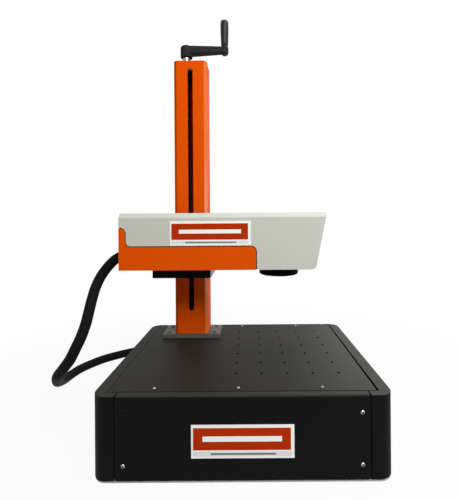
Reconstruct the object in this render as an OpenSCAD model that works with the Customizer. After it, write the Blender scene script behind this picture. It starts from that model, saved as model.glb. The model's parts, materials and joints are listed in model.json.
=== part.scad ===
// Bench laser marking machine: a cabinet with a drilled table, a hand-cranked column and a marking head.
// Frame: +X to the operator's right, +Y away from the operator, +Z up.
// The origin is on the bench, under the middle of the cabinet. All sizes are in millimetres.

/* [Base cabinet] */
// Width of the cabinet
base_w = 520; // [500:1:600]
// Depth of the cabinet
base_d = 400; // [390:1:480]
// Height of the cabinet above its feet
base_h = 143; // [138:1:180]
// Radius of the cabinet's upright corners
base_corner_r = 23; // [12:1:36]
// Thickness of the bent sheet
sheet_t = 2.5; // [1.5:0.5:3]
// Dark gap between neighbouring panels
seam = 2.5; // [1:0.5:3]
// Width of the front panel
front_panel_w = 436; // [430:1:450]
// Depth of the front panel's top flange
front_flange_d = 15; // [12:1:32]
// Outer radius of the front panel's bend
front_bend_r = 3.5; // [3:0.5:8]
// Height of a rubber foot
foot_h = 4; // [3:0.5:12]
// Radius of a rubber foot
foot_r = 16; // [10:1:22]
// Distance of the feet's centres from the cabinet's sides
foot_inset = 70; // [62:1:90]

/* [Cabinet screws] */
// Distance of the panel screws from the front panel's sides
panel_screw_inset = 13.5; // [12:0.5:20]
// Height of the lower panel screws above the cabinet's bottom
panel_screw_low = 25; // [18:1:35]
// Height of the upper panel screws above the cabinet's bottom
panel_screw_high = 114; // [106:1:118]
// Radius of a panel screw's head
panel_head_r = 3.7; // [3:0.1:6]
// Radius of a panel screw's shank
panel_shank_r = 2; // [1.5:0.1:2.5]
// Distance of the side cover screws from the cabinet's middle, front to back
cover_screw_y = 120; // [90:5:150]
// Height of the lower side cover screws above the cabinet's bottom
cover_screw_low = 30; // [20:1:45]
// Height of the upper side cover screws above the cabinet's bottom
cover_screw_high = 105; // [90:1:115]
// Radius of the side covers' inner bosses
cover_boss_r = 6; // [4:0.5:8]

/* [Work table] */
// Width of the work table
deck_w = 473; // [460:1:490]
// Thickness of the work table
deck_t = 8; // [6:0.5:12]
// Distance of the table screws from the table's edge
deck_screw_inset = 10.5; // [7:0.5:12]
// Spacing of the table screws
deck_screw_pitch = 150; // [120:5:180]
// Place of the middle table screw
deck_screw_x = -8; // [-30:1:30]
// Radius of a table screw's head
deck_head_r = 3.3; // [3:0.1:5]
// Radius of a table screw's shank
deck_shank_r = 2; // [1.5:0.1:2.5]
// Diameter of the tapped fixture holes
hole_d = 5; // [4:0.1:8]
// Spacing of the fixture holes
hole_pitch = 50; // [40:1:52]
// Columns of fixture holes
hole_cols = 5; // [3:1:5]
// Rows of fixture holes
hole_rows = 6; // [3:1:6]
// Centre of the hole field, left to right
hole_x = 86; // [76:1:96]
// Centre of the hole field, front to back
hole_y = 12; // [0:1:24]

/* [Column] */
// Distance of the column's middle from the work table's left edge
col_side_gap = 101.5; // [98:0.5:114]
// Distance of the column's middle from the cabinet's back
col_back_gap = 71.5; // [66:0.5:76]
// Width of the column tube
col_w = 84; // [78:1:90]
// Depth of the column tube
col_d = 65; // [60:1:72]
// Wall of the column tube
col_wall = 4; // [3:0.5:5]
// Length of the column tube
col_len = 697.5; // [640:0.5:760]
// Width of the bevel along the column's front corners
col_bevel = 7; // [3:0.5:8]
// Width of the front slot
slot_w = 13.5; // [10:0.5:16]
// Height of the slot's lower end above the column's foot
slot_low = 58; // [50:1:80]
// Distance of the slot's upper end from the column's top
slot_top_gap = 20; // [16:1:34]
// Width of the foot plate
foot_plate_w = 146; // [130:1:160]
// Depth of the foot plate
foot_plate_d = 76; // [74:1:90]
// Thickness of the foot plate
foot_plate_t = 10; // [8:0.5:14]
// Distance of the foot plate bolts from the plate's ends
foot_bolt_inset = 14; // [12:1:18]
// Radius of a foot plate bolt's head
foot_bolt_r = 5; // [4:0.5:7]

/* [Lift] */
// Distance of the lead screw, and of the guide rod, from the column's middle
screw_offset = 14; // [13.5:0.5:16]
// Diameter of the lead screw
screw_d = 16; // [14:0.5:18]
// Diameter of the lead screw's upper journal
journal_d = 12; // [10:0.5:14]
// Diameter of the guide rod
rod_d = 12; // [10:0.5:14]
// Radial running clearance of the nut, the bush and the bearings
running_fit = 0.05; // [0.02:0.01:0.08]
// Depth of the bearing blocks at the column's two ends
bearing_block_h = 20; // [16:1:22]
// Depth of the upper bearing block's face below the tube's rim
rim_depth = 2; // [1:0.5:4]
// Width of the carriage block
carriage_w = 66; // [64:1:68]
// Depth of the carriage block
carriage_d = 50; // [46:1:52]
// Height of the carriage block
carriage_h = 80; // [70:1:90]
// Outer diameter of the lead nut
nut_d = 26; // [24:0.5:28]
// Outer diameter of the guide bush
bush_d = 21; // [19:0.5:24]
// Side clearance of the carriage neck in the slot
neck_clearance = 0.5; // [0.3:0.1:1]
// Height of the carriage neck
neck_h = 70; // [60:1:76]
// Clearance between the bracket and the column
slide_gap = 0.5; // [0.3:0.1:1]

/* [Head bracket] */
// Width of the bracket
bracket_w = 127; // [110:1:140]
// Thickness of the bracket's shelf
shelf_t = 20; // [14:1:24]
// Reach of the shelf in front of the bracket's upright plate
shelf_reach = 110; // [90:1:125]
// Thickness of the bracket's upright plate
bracket_plate_t = 18; // [14:0.5:22]
// Height of the bracket's upright plate above the shelf
bracket_plate_h = 100; // [90:1:115]
// Radius of a shelf or bracket bolt's head
bracket_head_r = 5; // [4.5:0.5:6]
// Radius of a shelf or bracket bolt's shank
bracket_shank_r = 3; // [2.5:0.1:3.5]

/* [Marking head] */
// Height of the head's underside above the work table
head_clear = 193; // [170:1:230]
// Reach of the head to the left of the column's middle
head_left = 130; // [126:1:140]
// Length of the head along its top
head_len = 445; // [430:1:470]
// How far the nose leans back towards its foot
nose_lean = 25; // [10:1:30]
// Depth of the head
head_d = 130; // [126:1:140]
// Height of the head
head_h = 122; // [118:1:130]
// Wall of the cover and of the chassis
head_wall = 3; // [2:0.5:4]
// Width of the bevel along the head's long top edges
head_bevel = 9.5; // [6:0.5:14]
// Radius of the nose's lower corner
nose_r = 11; // [5:0.5:14]
// Width of the joint line between the cover and the chassis
joint_line = 1.7; // [0.6:0.1:2]
// Height of the chassis sides
chassis_h = 50; // [42:1:58]
// Distance between the chassis' right end and the lens axis
chassis_lens_gap = 53; // [49:1:57]
// Height of the chassis at its left end
riser_h = 90; // [82:1:98]
// Width of the raised strip at the left end
riser_w = 14; // [10:0.5:18]
// Radius of the chassis' outer corners
chassis_r = 11.5; // [5:0.5:12]
// Radius of the cover's lower corner beside the chassis
cover_foot_r = 6; // [3:0.5:7]

/* [Optics] */
// Distance of the lens axis from the nose's foot
lens_nose_gap = 74; // [70:1:80]
// Distance of the lens axis in front of the head's back
lens_y = 65; // [60:1:70]
// Outer diameter of the lens barrel
lens_d = 91; // [80:1:94]
// Diameter of the lens thread
lens_thread_d = 85; // [76:1:88]
// How far the lens hangs below the head
lens_drop = 17.5; // [14:0.5:24]
// Diameter of the clear lens opening
lens_clear_d = 70; // [60:1:72]
// Thickness of the optics bench
bench_t = 8; // [6:0.5:10]
// Width of the optics bench
bench_w = 96; // [90:1:98]
// Height of the laser beam above the bench
beam_h = 44; // [42:0.5:46]
// Spacing of the two scanning mirrors
mirror_gap = 20; // [19:0.5:22]
// Diameter of a scanning motor
galvo_d = 20; // [18:0.5:22]
// Length of a scanning motor
galvo_len = 40; // [34:1:42]
// Diameter of a mirror shaft
mirror_shaft_d = 4; // [3:0.5:5]
// Diameter of the beam isolator
isolator_d = 36; // [30:1:40]
// Length of the beam isolator
isolator_len = 180; // [150:1:200]

/* [Crank] */
// Length of the crank arm between its two axes
crank_len = 101; // [80:1:120]
// Clear height of shaft between the column and the crank hub
crank_gap = 20.5; // [10:0.5:30]
// Diameter of the shaft's collar under the crank
collar_d = 20; // [17:0.5:24]
// Diameter of the crank hub
hub_d = 31; // [28:0.5:34]
// Height of the crank hub
hub_h = 31; // [28:1:40]
// Radius of the crank hub's top edge
hub_edge_r = 5; // [2:0.5:8]
// Height of the arm's underside above the hub's underside
arm_rise = 8; // [6:0.5:13]
// Height of the crank arm at the hub
arm_h = 20; // [16:1:22]
// Height of the crank arm at its outer end
arm_tip_h = 15; // [12:1:18]
// Width of the crank arm at the hub
arm_root_w = 27; // [20:0.5:28]
// Width of the crank arm at its outer end
arm_tip_w = 18; // [14:0.5:19]
// Diameter of the boss that carries the grip
boss_d = 20.5; // [19.5:0.5:24]
// Length of the grip
grip_len = 71; // [60:1:90]
// Diameter of the grip at its crown
grip_d = 21.5; // [18:0.5:24]
// Diameter of the grip at its lower end
grip_foot_d = 18.5; // [15:0.5:20]
// Diameter of the grip spindle
spindle_d = 8; // [6:0.5:9]

/* [Conduit hose] */
// Outer diameter of the hose
hose_d = 24; // [20:0.5:25]
// Place of the hose entry in front of the head's back
hose_entry_y = 32; // [30:1:36]
// Height of the hose entry above the head's underside
hose_entry_z = 38; // [34:1:42]
// Diameter of a hose gland's collar
gland_d = 40; // [36:1:44]
// Radial step between a gland's end and the hose
gland_step = 1.5; // [1:0.5:3]
// Place of the rear gland, left to right
rear_gland_x = -165; // [-170:1:-160]
// Height of the rear gland above the bench
rear_gland_z = 55; // [50:1:60]
// Length of the rear gland behind the panel
rear_gland_len = 28; // [24:1:34]

/* [Rear panel] */
// Centre of the fan, left to right
fan_x = 140; // [130:1:148]
// Width of the fan's square frame
fan_w = 80; // [76:1:84]
// Depth of the fan
fan_t = 25; // [20:1:28]
// Height of the fan's centre, and of the inlet's, above the cabinet's bottom
rear_row_z = 58; // [52:1:62]
// Centre of the power inlet, left to right
inlet_x = -40; // [-60:1:-30]
// Centre of the data socket, left to right
data_x = 30; // [20:1:45]

/* [Labels] */
// Width of the label on the cabinet
base_label_w = 176; // [140:1:200]
// Height of the label on the cabinet
base_label_h = 57; // [40:1:62]
// Height of the cabinet label's middle above the cabinet's bottom
base_label_rise = 66; // [60:1:72]
// Width of the label on the head
head_label_w = 172; // [140:1:178]
// Height of the label on the head
head_label_h = 52; // [40:1:56]
// Distance of the head label's middle from the column's middle
head_label_x = 66; // [60:1:70]
// Thickness of the labels
label_t = 0.6; // [0.4:0.1:1]

/* [Hidden] */
$fn = 64;
// Small overlap that joins shapes of one solid, and lets a cut run past a face
eps = 0.5;

// Cabinet levels
deck_z = foot_h + base_h;
deck_under = deck_z - deck_t;
front_y = -base_d / 2;
back_y = base_d / 2;
inner_front_y = front_y + sheet_t;
inner_back_y = back_y - sheet_t;
deck_front_y = front_y + front_flange_d + seam;
deck_back_y = inner_back_y - seam;
cover_x = front_panel_w / 2 + seam;
tray_gap = 1;
tray_x = front_panel_w / 2 - tray_gap;
tray_inner_x = tray_x - sheet_t;
floor_z = foot_h + sheet_t;
deck_screw_xs = [for (i = [-1:1]) deck_screw_x + i * deck_screw_pitch];
deck_screw_ys = [deck_front_y + deck_screw_inset, deck_back_y - deck_screw_inset];
panel_screw_x = front_panel_w / 2 - panel_screw_inset;
panel_screw_zs = [foot_h + panel_screw_low, foot_h + panel_screw_high];
cover_screw_zs = [foot_h + cover_screw_low, foot_h + cover_screw_high];
rail_t = 4;
rail_drop = 34;
rail_reach = front_flange_d + seam + 2 * deck_screw_inset;
tab_w = 24;
screw_bite = 10;
cover_screw_r = 1.8;
cover_screw_head_r = 3.4;
button_h = 2.2;

// Column levels
col_x = -deck_w / 2 + col_side_gap;
col_y = back_y - col_back_gap;
col_foot_z = deck_z + foot_plate_t;
col_top_z = col_foot_z + col_len;
col_front_y = col_y - col_d / 2;
col_back_y = col_y + col_d / 2;
slot_z0 = col_foot_z + slot_low;
slot_z1 = col_top_z - slot_top_gap;
block_gap = 0.6;
low_block_z = col_foot_z + bearing_block_h;
top_block_z1 = col_top_z - rim_depth;
top_block_z0 = top_block_z1 - bearing_block_h;
screw_x = col_x - screw_offset;
rod_x = col_x + screw_offset;
column_screw_zs = [col_foot_z + bearing_block_h / 2, top_block_z0 + bearing_block_h / 2];
column_screw_gap = 44;
column_screw_r = 2.5;
column_head_r = 4.5;
bearing_r = journal_d / 2 + 5;
bearing_flange_r = bearing_r + 2;
bearing_flange_h = 1.5;
collar_gap = 0.5;
shoulder_gap = 0.3;
seat_depth = 12;
foot_shank_r = foot_bolt_r * 0.6;
foot_head_h = 3;

// Head levels
head_z0 = deck_z + head_clear;
head_z1 = head_z0 + head_h;
head_x0 = col_x - head_left;
head_x1 = head_x0 + head_len;
nose_x = head_x1 - nose_lean;
bracket_y1 = col_front_y - slide_gap;
bracket_y0 = bracket_y1 - bracket_plate_t;
head_y1 = bracket_y0 - slide_gap;
head_y0 = head_y1 - head_d;
head_mid_y = (head_y0 + head_y1) / 2;
shelf_z = head_z0 - shelf_t;
lens_ax = nose_x - lens_nose_gap;
chassis_x1 = lens_ax - chassis_lens_gap;
chassis_z1 = head_z0 + chassis_h;
riser_x1 = head_x0 + riser_w;
riser_z1 = head_z0 + riser_h;
head_floor_z = head_z0 + head_wall;
bench_top = head_floor_z + bench_t;
bench_gap = 25;
bench_x0 = head_x0 + bench_gap;
bench_nose_gap = 2;
bench_x1 = nose_x - nose_r - bench_nose_gap;
lens_ay = head_y1 - lens_y;
lens_z0 = head_z0 - lens_drop;
beam_z = bench_top + beam_h;
beam_y = lens_ay + mirror_gap;
carriage_rise = 5;
carriage_z0 = head_z0 + carriage_rise;
carriage_z1 = carriage_z0 + carriage_h;
carriage_y0 = col_y - carriage_d / 2;
neck_z0 = carriage_z0 + (carriage_h - neck_h) / 2;
neck_w = slot_w - 2 * neck_clearance;
bracket_bolt_zs = [for (i = [-1:1]) carriage_z0 + carriage_h / 2 + i * neck_h / 3];
bracket_bolt_head_h = 6;
shelf_bolt_xs = [col_x - bracket_w / 3, col_x + bracket_w / 3];
shelf_bolt_ys = [head_mid_y - bench_w / 4, head_mid_y + bench_w / 4];
post_r = 4;
post_inset = post_r + 2;
post_h = 90;
post_rib = 4;
post_gap_left = 26;
post_gap_right = 13;
post_xs = [riser_x1 + post_gap_left, chassis_x1 - post_gap_right];
post_ys = [head_y0 + head_wall + post_inset, head_y1 - head_wall - post_inset];
post_screw_r = 1.5;
post_head_r = 3;
post_head_h = 1.6;
post_head_gap = 0.2;
post_sink = post_head_h + post_head_gap;
head_label_gap = 8;

// Optics levels
lens_seat = 4;
lens_rim = 5;
lens_lip = 4;
lens_ring_w = 2.5;
lens_hole_gap = 1;
galvo_wall = 12;
galvo_frame = 6;
galvo_stand = 18;
galvo_wall_x = lens_ax + galvo_stand;
bridge_rise = 16;
bridge_z0 = beam_z + bridge_rise;
isolator_gap = 40;
isolator_x0 = bench_x0 + isolator_gap;
isolator_x1 = isolator_x0 + isolator_len;

// Crank levels
hub_z0 = col_top_z + crank_gap;
hub_z1 = hub_z0 + hub_h;
arm_z0 = hub_z0 + arm_rise;
arm_z1 = arm_z0 + arm_h;
boss_drop = 3;
arm_tip_z0 = arm_z1 - arm_tip_h;
boss_z0 = arm_tip_z0 - boss_drop;
grip_x = screw_x + crank_len;
grip_gap = 0.3;
grip_z0 = arm_z1 + grip_gap;
grip_z1 = grip_z0 + grip_len;
grip_cap = 12;
spindle_top = grip_z1 - grip_cap;
set_screw_r = 2.5;

// Shape of the hose from the head to the rear of the cabinet, first drooping, then lying on the bench
hose_shape = [
    [-290, 45, 361], [-312, 44, 345], [-335, 41, 316], [-347, 32, 290], [-352, 19, 264],
    [-354, 5, 239], [-356, -7, 214], [-362, -17, 188], [-372, -22, 164], [-386, -20, 138],
    [-405, -11, 115], [-426, 10, 91], [-453, 56, 62], [-476, 104, 37], [-488, 145, 21],
    [-489, 179, 14], [-481, 213, 13], [-463, 248, 13], [-437, 280, 13], [-406, 306, 13],
    [-370, 330, 13], [-328, 346, 16], [-284, 350, 22], [-240, 341, 32], [-204, 317, 43],
    [-178, 285, 51], [-167, 256, 54], [-165, 228, 55]
];
hose_sides = 12;
hose_last = len(hose_shape) - 1;
hose_entry = [head_x0, head_y1 - hose_entry_y, head_z0 + hose_entry_z];
head_boot = [-25, 0, -14];
hose_out = unit(head_boot);
rear_end = [rear_gland_x, back_y + rear_gland_len, rear_gland_z];
// The two ends of the shape follow the glands; its part between the two stations stays on the bench
hose_bench_from = 14;
hose_bench_to = 20;
hose_end_gap = 0.3;
entry_shift = hose_entry + head_boot + hose_end_gap * hose_out - hose_shape[0];
rear_shift = rear_end - hose_shape[hose_last];
hose_route = [for (i = [0:hose_last]) hose_shape[i]
    + max(0, 1 - i / hose_bench_from) * entry_shift
    + max(0, (i - hose_bench_to) / (hose_last - hose_bench_to)) * rear_shift];
gland_collar_t = 4;
gland_root_inset = 3;
gland_stub_r = 10;
gland_nut_t = 5;
gland_nut_r = 14;

// Rear panel pieces
rear_z = foot_h + rear_row_z;
fan_y1 = inner_back_y;
fan_y0 = fan_y1 - fan_t;
fan_wall = 3;
fan_bore_r = fan_w / 2 - fan_wall;
fan_hub_r = 18;
fan_shaft_r = 2;
fan_strut_t = 4;
fan_strut_step = 0.5;
fan_end_gap = 0.5;
fan_shaft_y1 = fan_y1 - 2 * fan_strut_t;
fan_blade_gap = 3;
fan_blades = 7;
fan_screw_inset = 5;
fan_screw_gap = fan_w / 2 - fan_screw_inset;
fan_screw_r = 1.8;
guard_wire = 1.6;
inlet_w = 40;
inlet_h = 52;
inlet_t = 32;
inlet_flange = 4;
inlet_flange_t = 3;
iec_w = 25;
iec_h = 17;
iec_depth = 20;
rocker_w = 12.4;
rocker_half = 9;
rocker_gap = 0.4;
rocker_tilt = 8;
rocker_z = rear_z + inlet_h / 4;
iec_z = rear_z - inlet_h / 4;
rocker_sink = 4;
rocker_y = back_y - rocker_sink;
rocker_pin_r = 1.5;
data_w = 16;
data_depth = 14;
data_bore = [8.6, 7.9];

// Modules inside the cabinet
source_size = [200, 260, 80];
source_x0 = -tray_inner_x + 12;
source_y0 = -150;
supply_size = [115, 200, 50];
supply_x0 = 30;
supply_y0 = -150;
board_size = [130, 70, 1.6];
board_x0 = 60;
board_y0 = 72;
standoff_h = 12;
standoff_r = 3;
standoff_inset = 6;

powder_black = "#1c1d1c";
table_black = "#3c3b38";
signal_orange = "#d64e00";
cover_grey = "#c9cabd";
steel = "#a9abac";
crank_grey = "#3b3b3a";
rubber_black = "#151515";
label_red = "#be2d00";
brass = "#b08d3c";
board_green = "#1f5a3a";
cast_aluminium = "#8d9094";
lens_black = "#101010";
glass_blue = "#9fb8c4";

function unit(v) = v / norm(v);

// Shared shapes

// Upright box between two corners
module block(lo, hi) {
    translate(lo) cube(hi - lo);
}

// Cylinder along X, Y or Z between two stations
module rod_x(y, z, x0, x1, r) {
    translate([x0, y, z]) rotate([0, 90, 0]) cylinder(h = x1 - x0, r = r);
}

module rod_y(x, z, y0, y1, r) {
    translate([x, y1, z]) rotate([90, 0, 0]) cylinder(h = y1 - y0, r = r);
}

module rod_z(x, y, z0, z1, r) {
    translate([x, y, z0]) cylinder(h = z1 - z0, r = r);
}

// A profile drawn in X and Z, filled from y0 to y1
module along_y(y0, y1) {
    translate([0, y1, 0]) rotate([90, 0, 0]) linear_extrude(y1 - y0) children();
}

// A profile drawn in Y and Z, filled from x0 to x1
module along_x(x0, x1) {
    translate([x0, 0, 0]) rotate([90, 0, 90]) linear_extrude(x1 - x0) children();
}

// Flat rectangle between two corners
module area(lo, hi) {
    translate(lo) square(hi - lo);
}

// Rectangle with four round corners, about the origin
module rounded_rect(w, d, r) {
    square([w - 2 * r, d], center = true);
    square([w, d - 2 * r], center = true);
    for (sx = [-1, 1], sy = [-1, 1])
        translate([sx * (w / 2 - r), sy * (d / 2 - r)]) circle(r);
}

// Button-head screw: its seat is at the origin, its head points to +Z
module button_screw(head_r, head_h, shank_r, shank_len) {
    difference() {
        union() {
            cylinder(h = head_h * 0.4, r = head_r);
            translate([0, 0, head_h * 0.4]) cylinder(h = head_h * 0.6, r1 = head_r, r2 = head_r * 0.6);
            translate([0, 0, -shank_len]) cylinder(h = shank_len + eps, r = shank_r);
        }
        translate([0, 0, head_h * 0.4]) cylinder(h = head_h, r = head_r * 0.45, $fn = 6);
    }
}

// Cap screw: its seat is at the origin, its head points to +Z
module cap_screw(head_r, head_h, shank_r, shank_len) {
    difference() {
        union() {
            cylinder(h = head_h, r = head_r);
            translate([0, 0, -shank_len]) cylinder(h = shank_len + eps, r = shank_r);
        }
        translate([0, 0, head_h * 0.4]) cylinder(h = head_h, r = head_r * 0.5, $fn = 6);
    }
}

// Cabinet

// Plan of the cabinet, drawn in by the given amount
module cabinet_plan(inset) {
    rounded_rect(base_w - 2 * inset, base_d - 2 * inset, base_corner_r - inset);
}

// Places of the four feet
module at_feet() {
    for (sx = [-1, 1], sy = [-1, 1])
        translate([sx * (base_w / 2 - foot_inset), sy * (base_d / 2 - foot_inset), 0]) children();
}

// Places of the board's four standoffs
module at_standoffs() {
    far = [board_size.x - standoff_inset, board_size.y - standoff_inset];
    for (x = [standoff_inset, far.x], y = [standoff_inset, far.y])
        translate([board_x0 + x, board_y0 + y, floor_z]) children();
}

module base_tray() {
    color(powder_black) difference() {
        union() {
            block([-tray_x, inner_front_y, foot_h], [tray_x, inner_back_y, floor_z]);
            for (side = [-1, 1]) {
                x0 = side < 0 ? -tray_x : tray_inner_x;
                block([x0, inner_front_y, foot_h], [x0 + sheet_t, inner_back_y, deck_under]);
                for (y = [inner_front_y, inner_back_y - sheet_t])
                    block([side * tray_inner_x - (side < 0 ? eps : tab_w), y, foot_h],
                          [side * tray_inner_x + (side < 0 ? tab_w : eps), y + sheet_t,
                           panel_screw_zs[0] + 3 * panel_shank_r]);
            }
            at_standoffs() cylinder(h = standoff_h, r = standoff_r);
        }
        for (x = [-panel_screw_x, panel_screw_x])
            rod_y(x, panel_screw_zs[0], inner_front_y - eps, inner_back_y + eps, panel_shank_r);
        for (y = [-cover_screw_y, cover_screw_y], z = cover_screw_zs)
            rod_x(y, z, -tray_x - eps, tray_x + eps, cover_screw_r);
    }
}

// Side cover on the right: outer skin, top edge and inner bosses
module side_cover() {
    boss_x1 = base_w / 2 - sheet_t / 2;
    difference() {
        union() {
            difference() {
                translate([0, 0, foot_h]) linear_extrude(base_h) cabinet_plan(0);
                translate([0, 0, foot_h - eps])
                    linear_extrude(base_h - sheet_t + eps) cabinet_plan(sheet_t);
                block([-base_w, -base_d, 0], [cover_x, base_d, deck_z + eps]);
                block([0, deck_front_y - seam, deck_under],
                      [deck_w / 2 + seam, inner_back_y, deck_z + eps]);
            }
            for (y = [-cover_screw_y, cover_screw_y], z = cover_screw_zs)
                rod_x(y, z, tray_x, boss_x1, cover_boss_r);
        }
        for (y = [-cover_screw_y, cover_screw_y], z = cover_screw_zs)
            rod_x(y, z, tray_x - eps, tray_x + screw_bite + eps, cover_screw_r);
    }
}

module left_side_cover() {
    color(powder_black) mirror([1, 0, 0]) side_cover();
}

module right_side_cover() {
    color(powder_black) side_cover();
}

// Section of the front panel: an upright sheet that bends back over the cabinet's edge
module front_section(inset) {
    r = front_bend_r - inset;
    y0 = front_y + inset;
    z1 = deck_z - inset;
    area([y0, foot_h - inset], [front_y + front_flange_d + inset, z1 - r]);
    area([y0 + r, foot_h - inset], [front_y + front_flange_d + inset, z1]);
    translate([y0 + r, z1 - r]) circle(r);
}

module front_panel() {
    color(powder_black) difference() {
        along_x(-front_panel_w / 2, front_panel_w / 2) difference() {
            front_section(0);
            front_section(sheet_t);
        }
        for (x = [-panel_screw_x, panel_screw_x], z = panel_screw_zs)
            rod_y(x, z, front_y - eps, inner_front_y + eps, panel_shank_r);
    }
}

// Places of the fan's four screws, on the rear panel's outside
module at_fan_screws() {
    for (sx = [-1, 1], sz = [-1, 1])
        translate([fan_x + sx * fan_screw_gap, back_y, rear_z + sz * fan_screw_gap])
            rotate([-90, 0, 0]) children();
}

module rear_panel() {
    color(powder_black) difference() {
        block([-front_panel_w / 2, inner_back_y, foot_h], [front_panel_w / 2, back_y, deck_z]);
        for (x = [-panel_screw_x, panel_screw_x], z = panel_screw_zs)
            rod_y(x, z, inner_back_y - eps, back_y + eps, panel_shank_r);
        rod_y(fan_x, rear_z, inner_back_y - eps, back_y + eps, fan_bore_r);
        at_fan_screws() translate([0, 0, -sheet_t - eps])
            cylinder(h = sheet_t + 2 * eps, r = fan_screw_r);
        block([inlet_x - inlet_w / 2, inner_back_y - eps, rear_z - inlet_h / 2],
              [inlet_x + inlet_w / 2, back_y + eps, rear_z + inlet_h / 2]);
        block([data_x - data_w / 2, inner_back_y - eps, rear_z - data_w / 2],
              [data_x + data_w / 2, back_y + eps, rear_z + data_w / 2]);
        rod_y(rear_gland_x, rear_gland_z, inner_back_y - eps, back_y + eps, gland_stub_r);
    }
}

// Angle rail under one edge of the table: side -1 is the front, side 1 the rear
module rail(side) {
    wall_y = side < 0 ? inner_front_y : inner_back_y;
    screw_y = side < 0 ? deck_screw_ys[0] : deck_screw_ys[1];
    leg = [wall_y, wall_y - side * rail_t];
    shelf = [wall_y, wall_y - side * rail_reach];
    difference() {
        union() {
            block([-tray_inner_x, min(leg), deck_under - rail_drop], [tray_inner_x, max(leg), deck_under]);
            block([-tray_inner_x, min(shelf), deck_under - rail_t], [tray_inner_x, max(shelf), deck_under]);
        }
        for (x = deck_screw_xs)
            rod_z(x, screw_y, deck_under - rail_t - eps, deck_under + eps, deck_shank_r);
        for (x = [-panel_screw_x, panel_screw_x])
            rod_y(x, panel_screw_zs[1], min(leg) - eps, max(leg) + eps, panel_shank_r);
    }
}

module front_rail() {
    color(steel) rail(-1);
}

module rear_rail() {
    color(steel) rail(1);
}

// Places of the fixture holes
module at_fixture_holes() {
    for (i = [0:hole_cols - 1], j = [0:hole_rows - 1])
        translate([hole_x + (i - (hole_cols - 1) / 2) * hole_pitch,
                   hole_y + (j - (hole_rows - 1) / 2) * hole_pitch, deck_under - eps]) children();
}

// Places of the foot plate's bolts, on the table's top
module at_foot_bolts() {
    for (sx = [-1, 1], sy = [-1, 1])
        translate([col_x + sx * (foot_plate_w / 2 - foot_bolt_inset),
                   col_y + sy * (foot_plate_d / 2 - foot_bolt_inset), deck_z]) children();
}

module top_plate() {
    color(table_black) difference() {
        block([-deck_w / 2, deck_front_y, deck_under], [deck_w / 2, deck_back_y, deck_z]);
        at_fixture_holes() cylinder(h = deck_t + 2 * eps, r = hole_d / 2);
        for (x = deck_screw_xs, y = deck_screw_ys)
            rod_z(x, y, deck_under - eps, deck_z + eps, deck_shank_r);
        at_foot_bolts() translate([0, 0, -deck_t - eps])
            cylinder(h = deck_t + 2 * eps, r = foot_shank_r);
    }
}

module top_plate_screws() {
    color(steel) for (x = deck_screw_xs, y = deck_screw_ys)
        translate([x, y, deck_z]) button_screw(deck_head_r, button_h, deck_shank_r, deck_t + rail_t);
}

// Shank of a panel screw: through the panel into the tray's tab, or higher up into the rail
function panel_shank(z) = sheet_t + (z < panel_screw_zs[1] ? sheet_t : rail_t);

// One screw stays out: the upper left hole of the front panel is empty
module front_panel_screws() {
    color(steel) for (x = [-panel_screw_x, panel_screw_x], z = panel_screw_zs)
        if (x > 0 || z < panel_screw_zs[1])
            translate([x, front_y, z]) rotate([90, 0, 0])
                button_screw(panel_head_r, button_h, panel_shank_r, panel_shank(z));
}

module rear_panel_screws() {
    color(steel) for (x = [-panel_screw_x, panel_screw_x], z = panel_screw_zs)
        translate([x, back_y, z]) rotate([-90, 0, 0])
            button_screw(panel_head_r, button_h, panel_shank_r, panel_shank(z));
    color(steel) at_fan_screws() translate([0, 0, guard_wire])
        button_screw(fan_screw_r * 2, button_h, fan_screw_r, sheet_t + guard_wire + screw_bite);
}

module side_cover_screws() {
    color(steel) for (side = [-1, 1], y = [-cover_screw_y, cover_screw_y], z = cover_screw_zs)
        translate([side * tray_inner_x, y, z]) rotate([0, -side * 90, 0])
            button_screw(cover_screw_head_r, button_h, cover_screw_r, sheet_t + screw_bite);
}

module rubber_feet() {
    color(rubber_black) at_feet() cylinder(h = foot_h, r1 = foot_r - 2, r2 = foot_r);
}

// Modules in the cabinet

module laser_source() {
    fin_pitch = 12;
    fin_w = 4;
    fin_h = 14;
    lo = [source_x0, source_y0, floor_z];
    color(cast_aluminium) difference() {
        block(lo, lo + source_size);
        for (x = [fin_pitch:fin_pitch:source_size.x - fin_pitch])
            block(lo + [x, -eps, source_size.z - fin_h],
                  lo + [x + fin_pitch - fin_w, source_size.y + eps, source_size.z + eps]);
    }
}

module power_supply() {
    vent_pitch = 14;
    vent_w = 4;
    vent_l = 60;
    lo = [supply_x0, supply_y0, floor_z];
    color(steel) difference() {
        block(lo, lo + supply_size);
        block(lo + sheet_t * [1, 1, 1], lo + supply_size - sheet_t * [1, 1, 1]);
        for (y = [vent_pitch:vent_pitch:supply_size.y - vent_pitch])
            block(lo + [(supply_size.x - vent_l) / 2, y, supply_size.z - sheet_t - eps],
                  lo + [(supply_size.x + vent_l) / 2, y + vent_w, supply_size.z + eps]);
    }
}

module control_board() {
    lo = [board_x0, board_y0, floor_z + standoff_h];
    chip_h = 6;
    chips = [[20, 20, 26, 26], [64, 16, 18, 40], [94, 22, 20, 14]];
    color(board_green) union() {
        block(lo, lo + board_size);
        for (c = chips)
            block(lo + [c[0], c[1], 0], lo + [c[0] + c[2], c[1] + c[3], board_size.z + chip_h]);
    }
}

// Rear panel pieces

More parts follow.
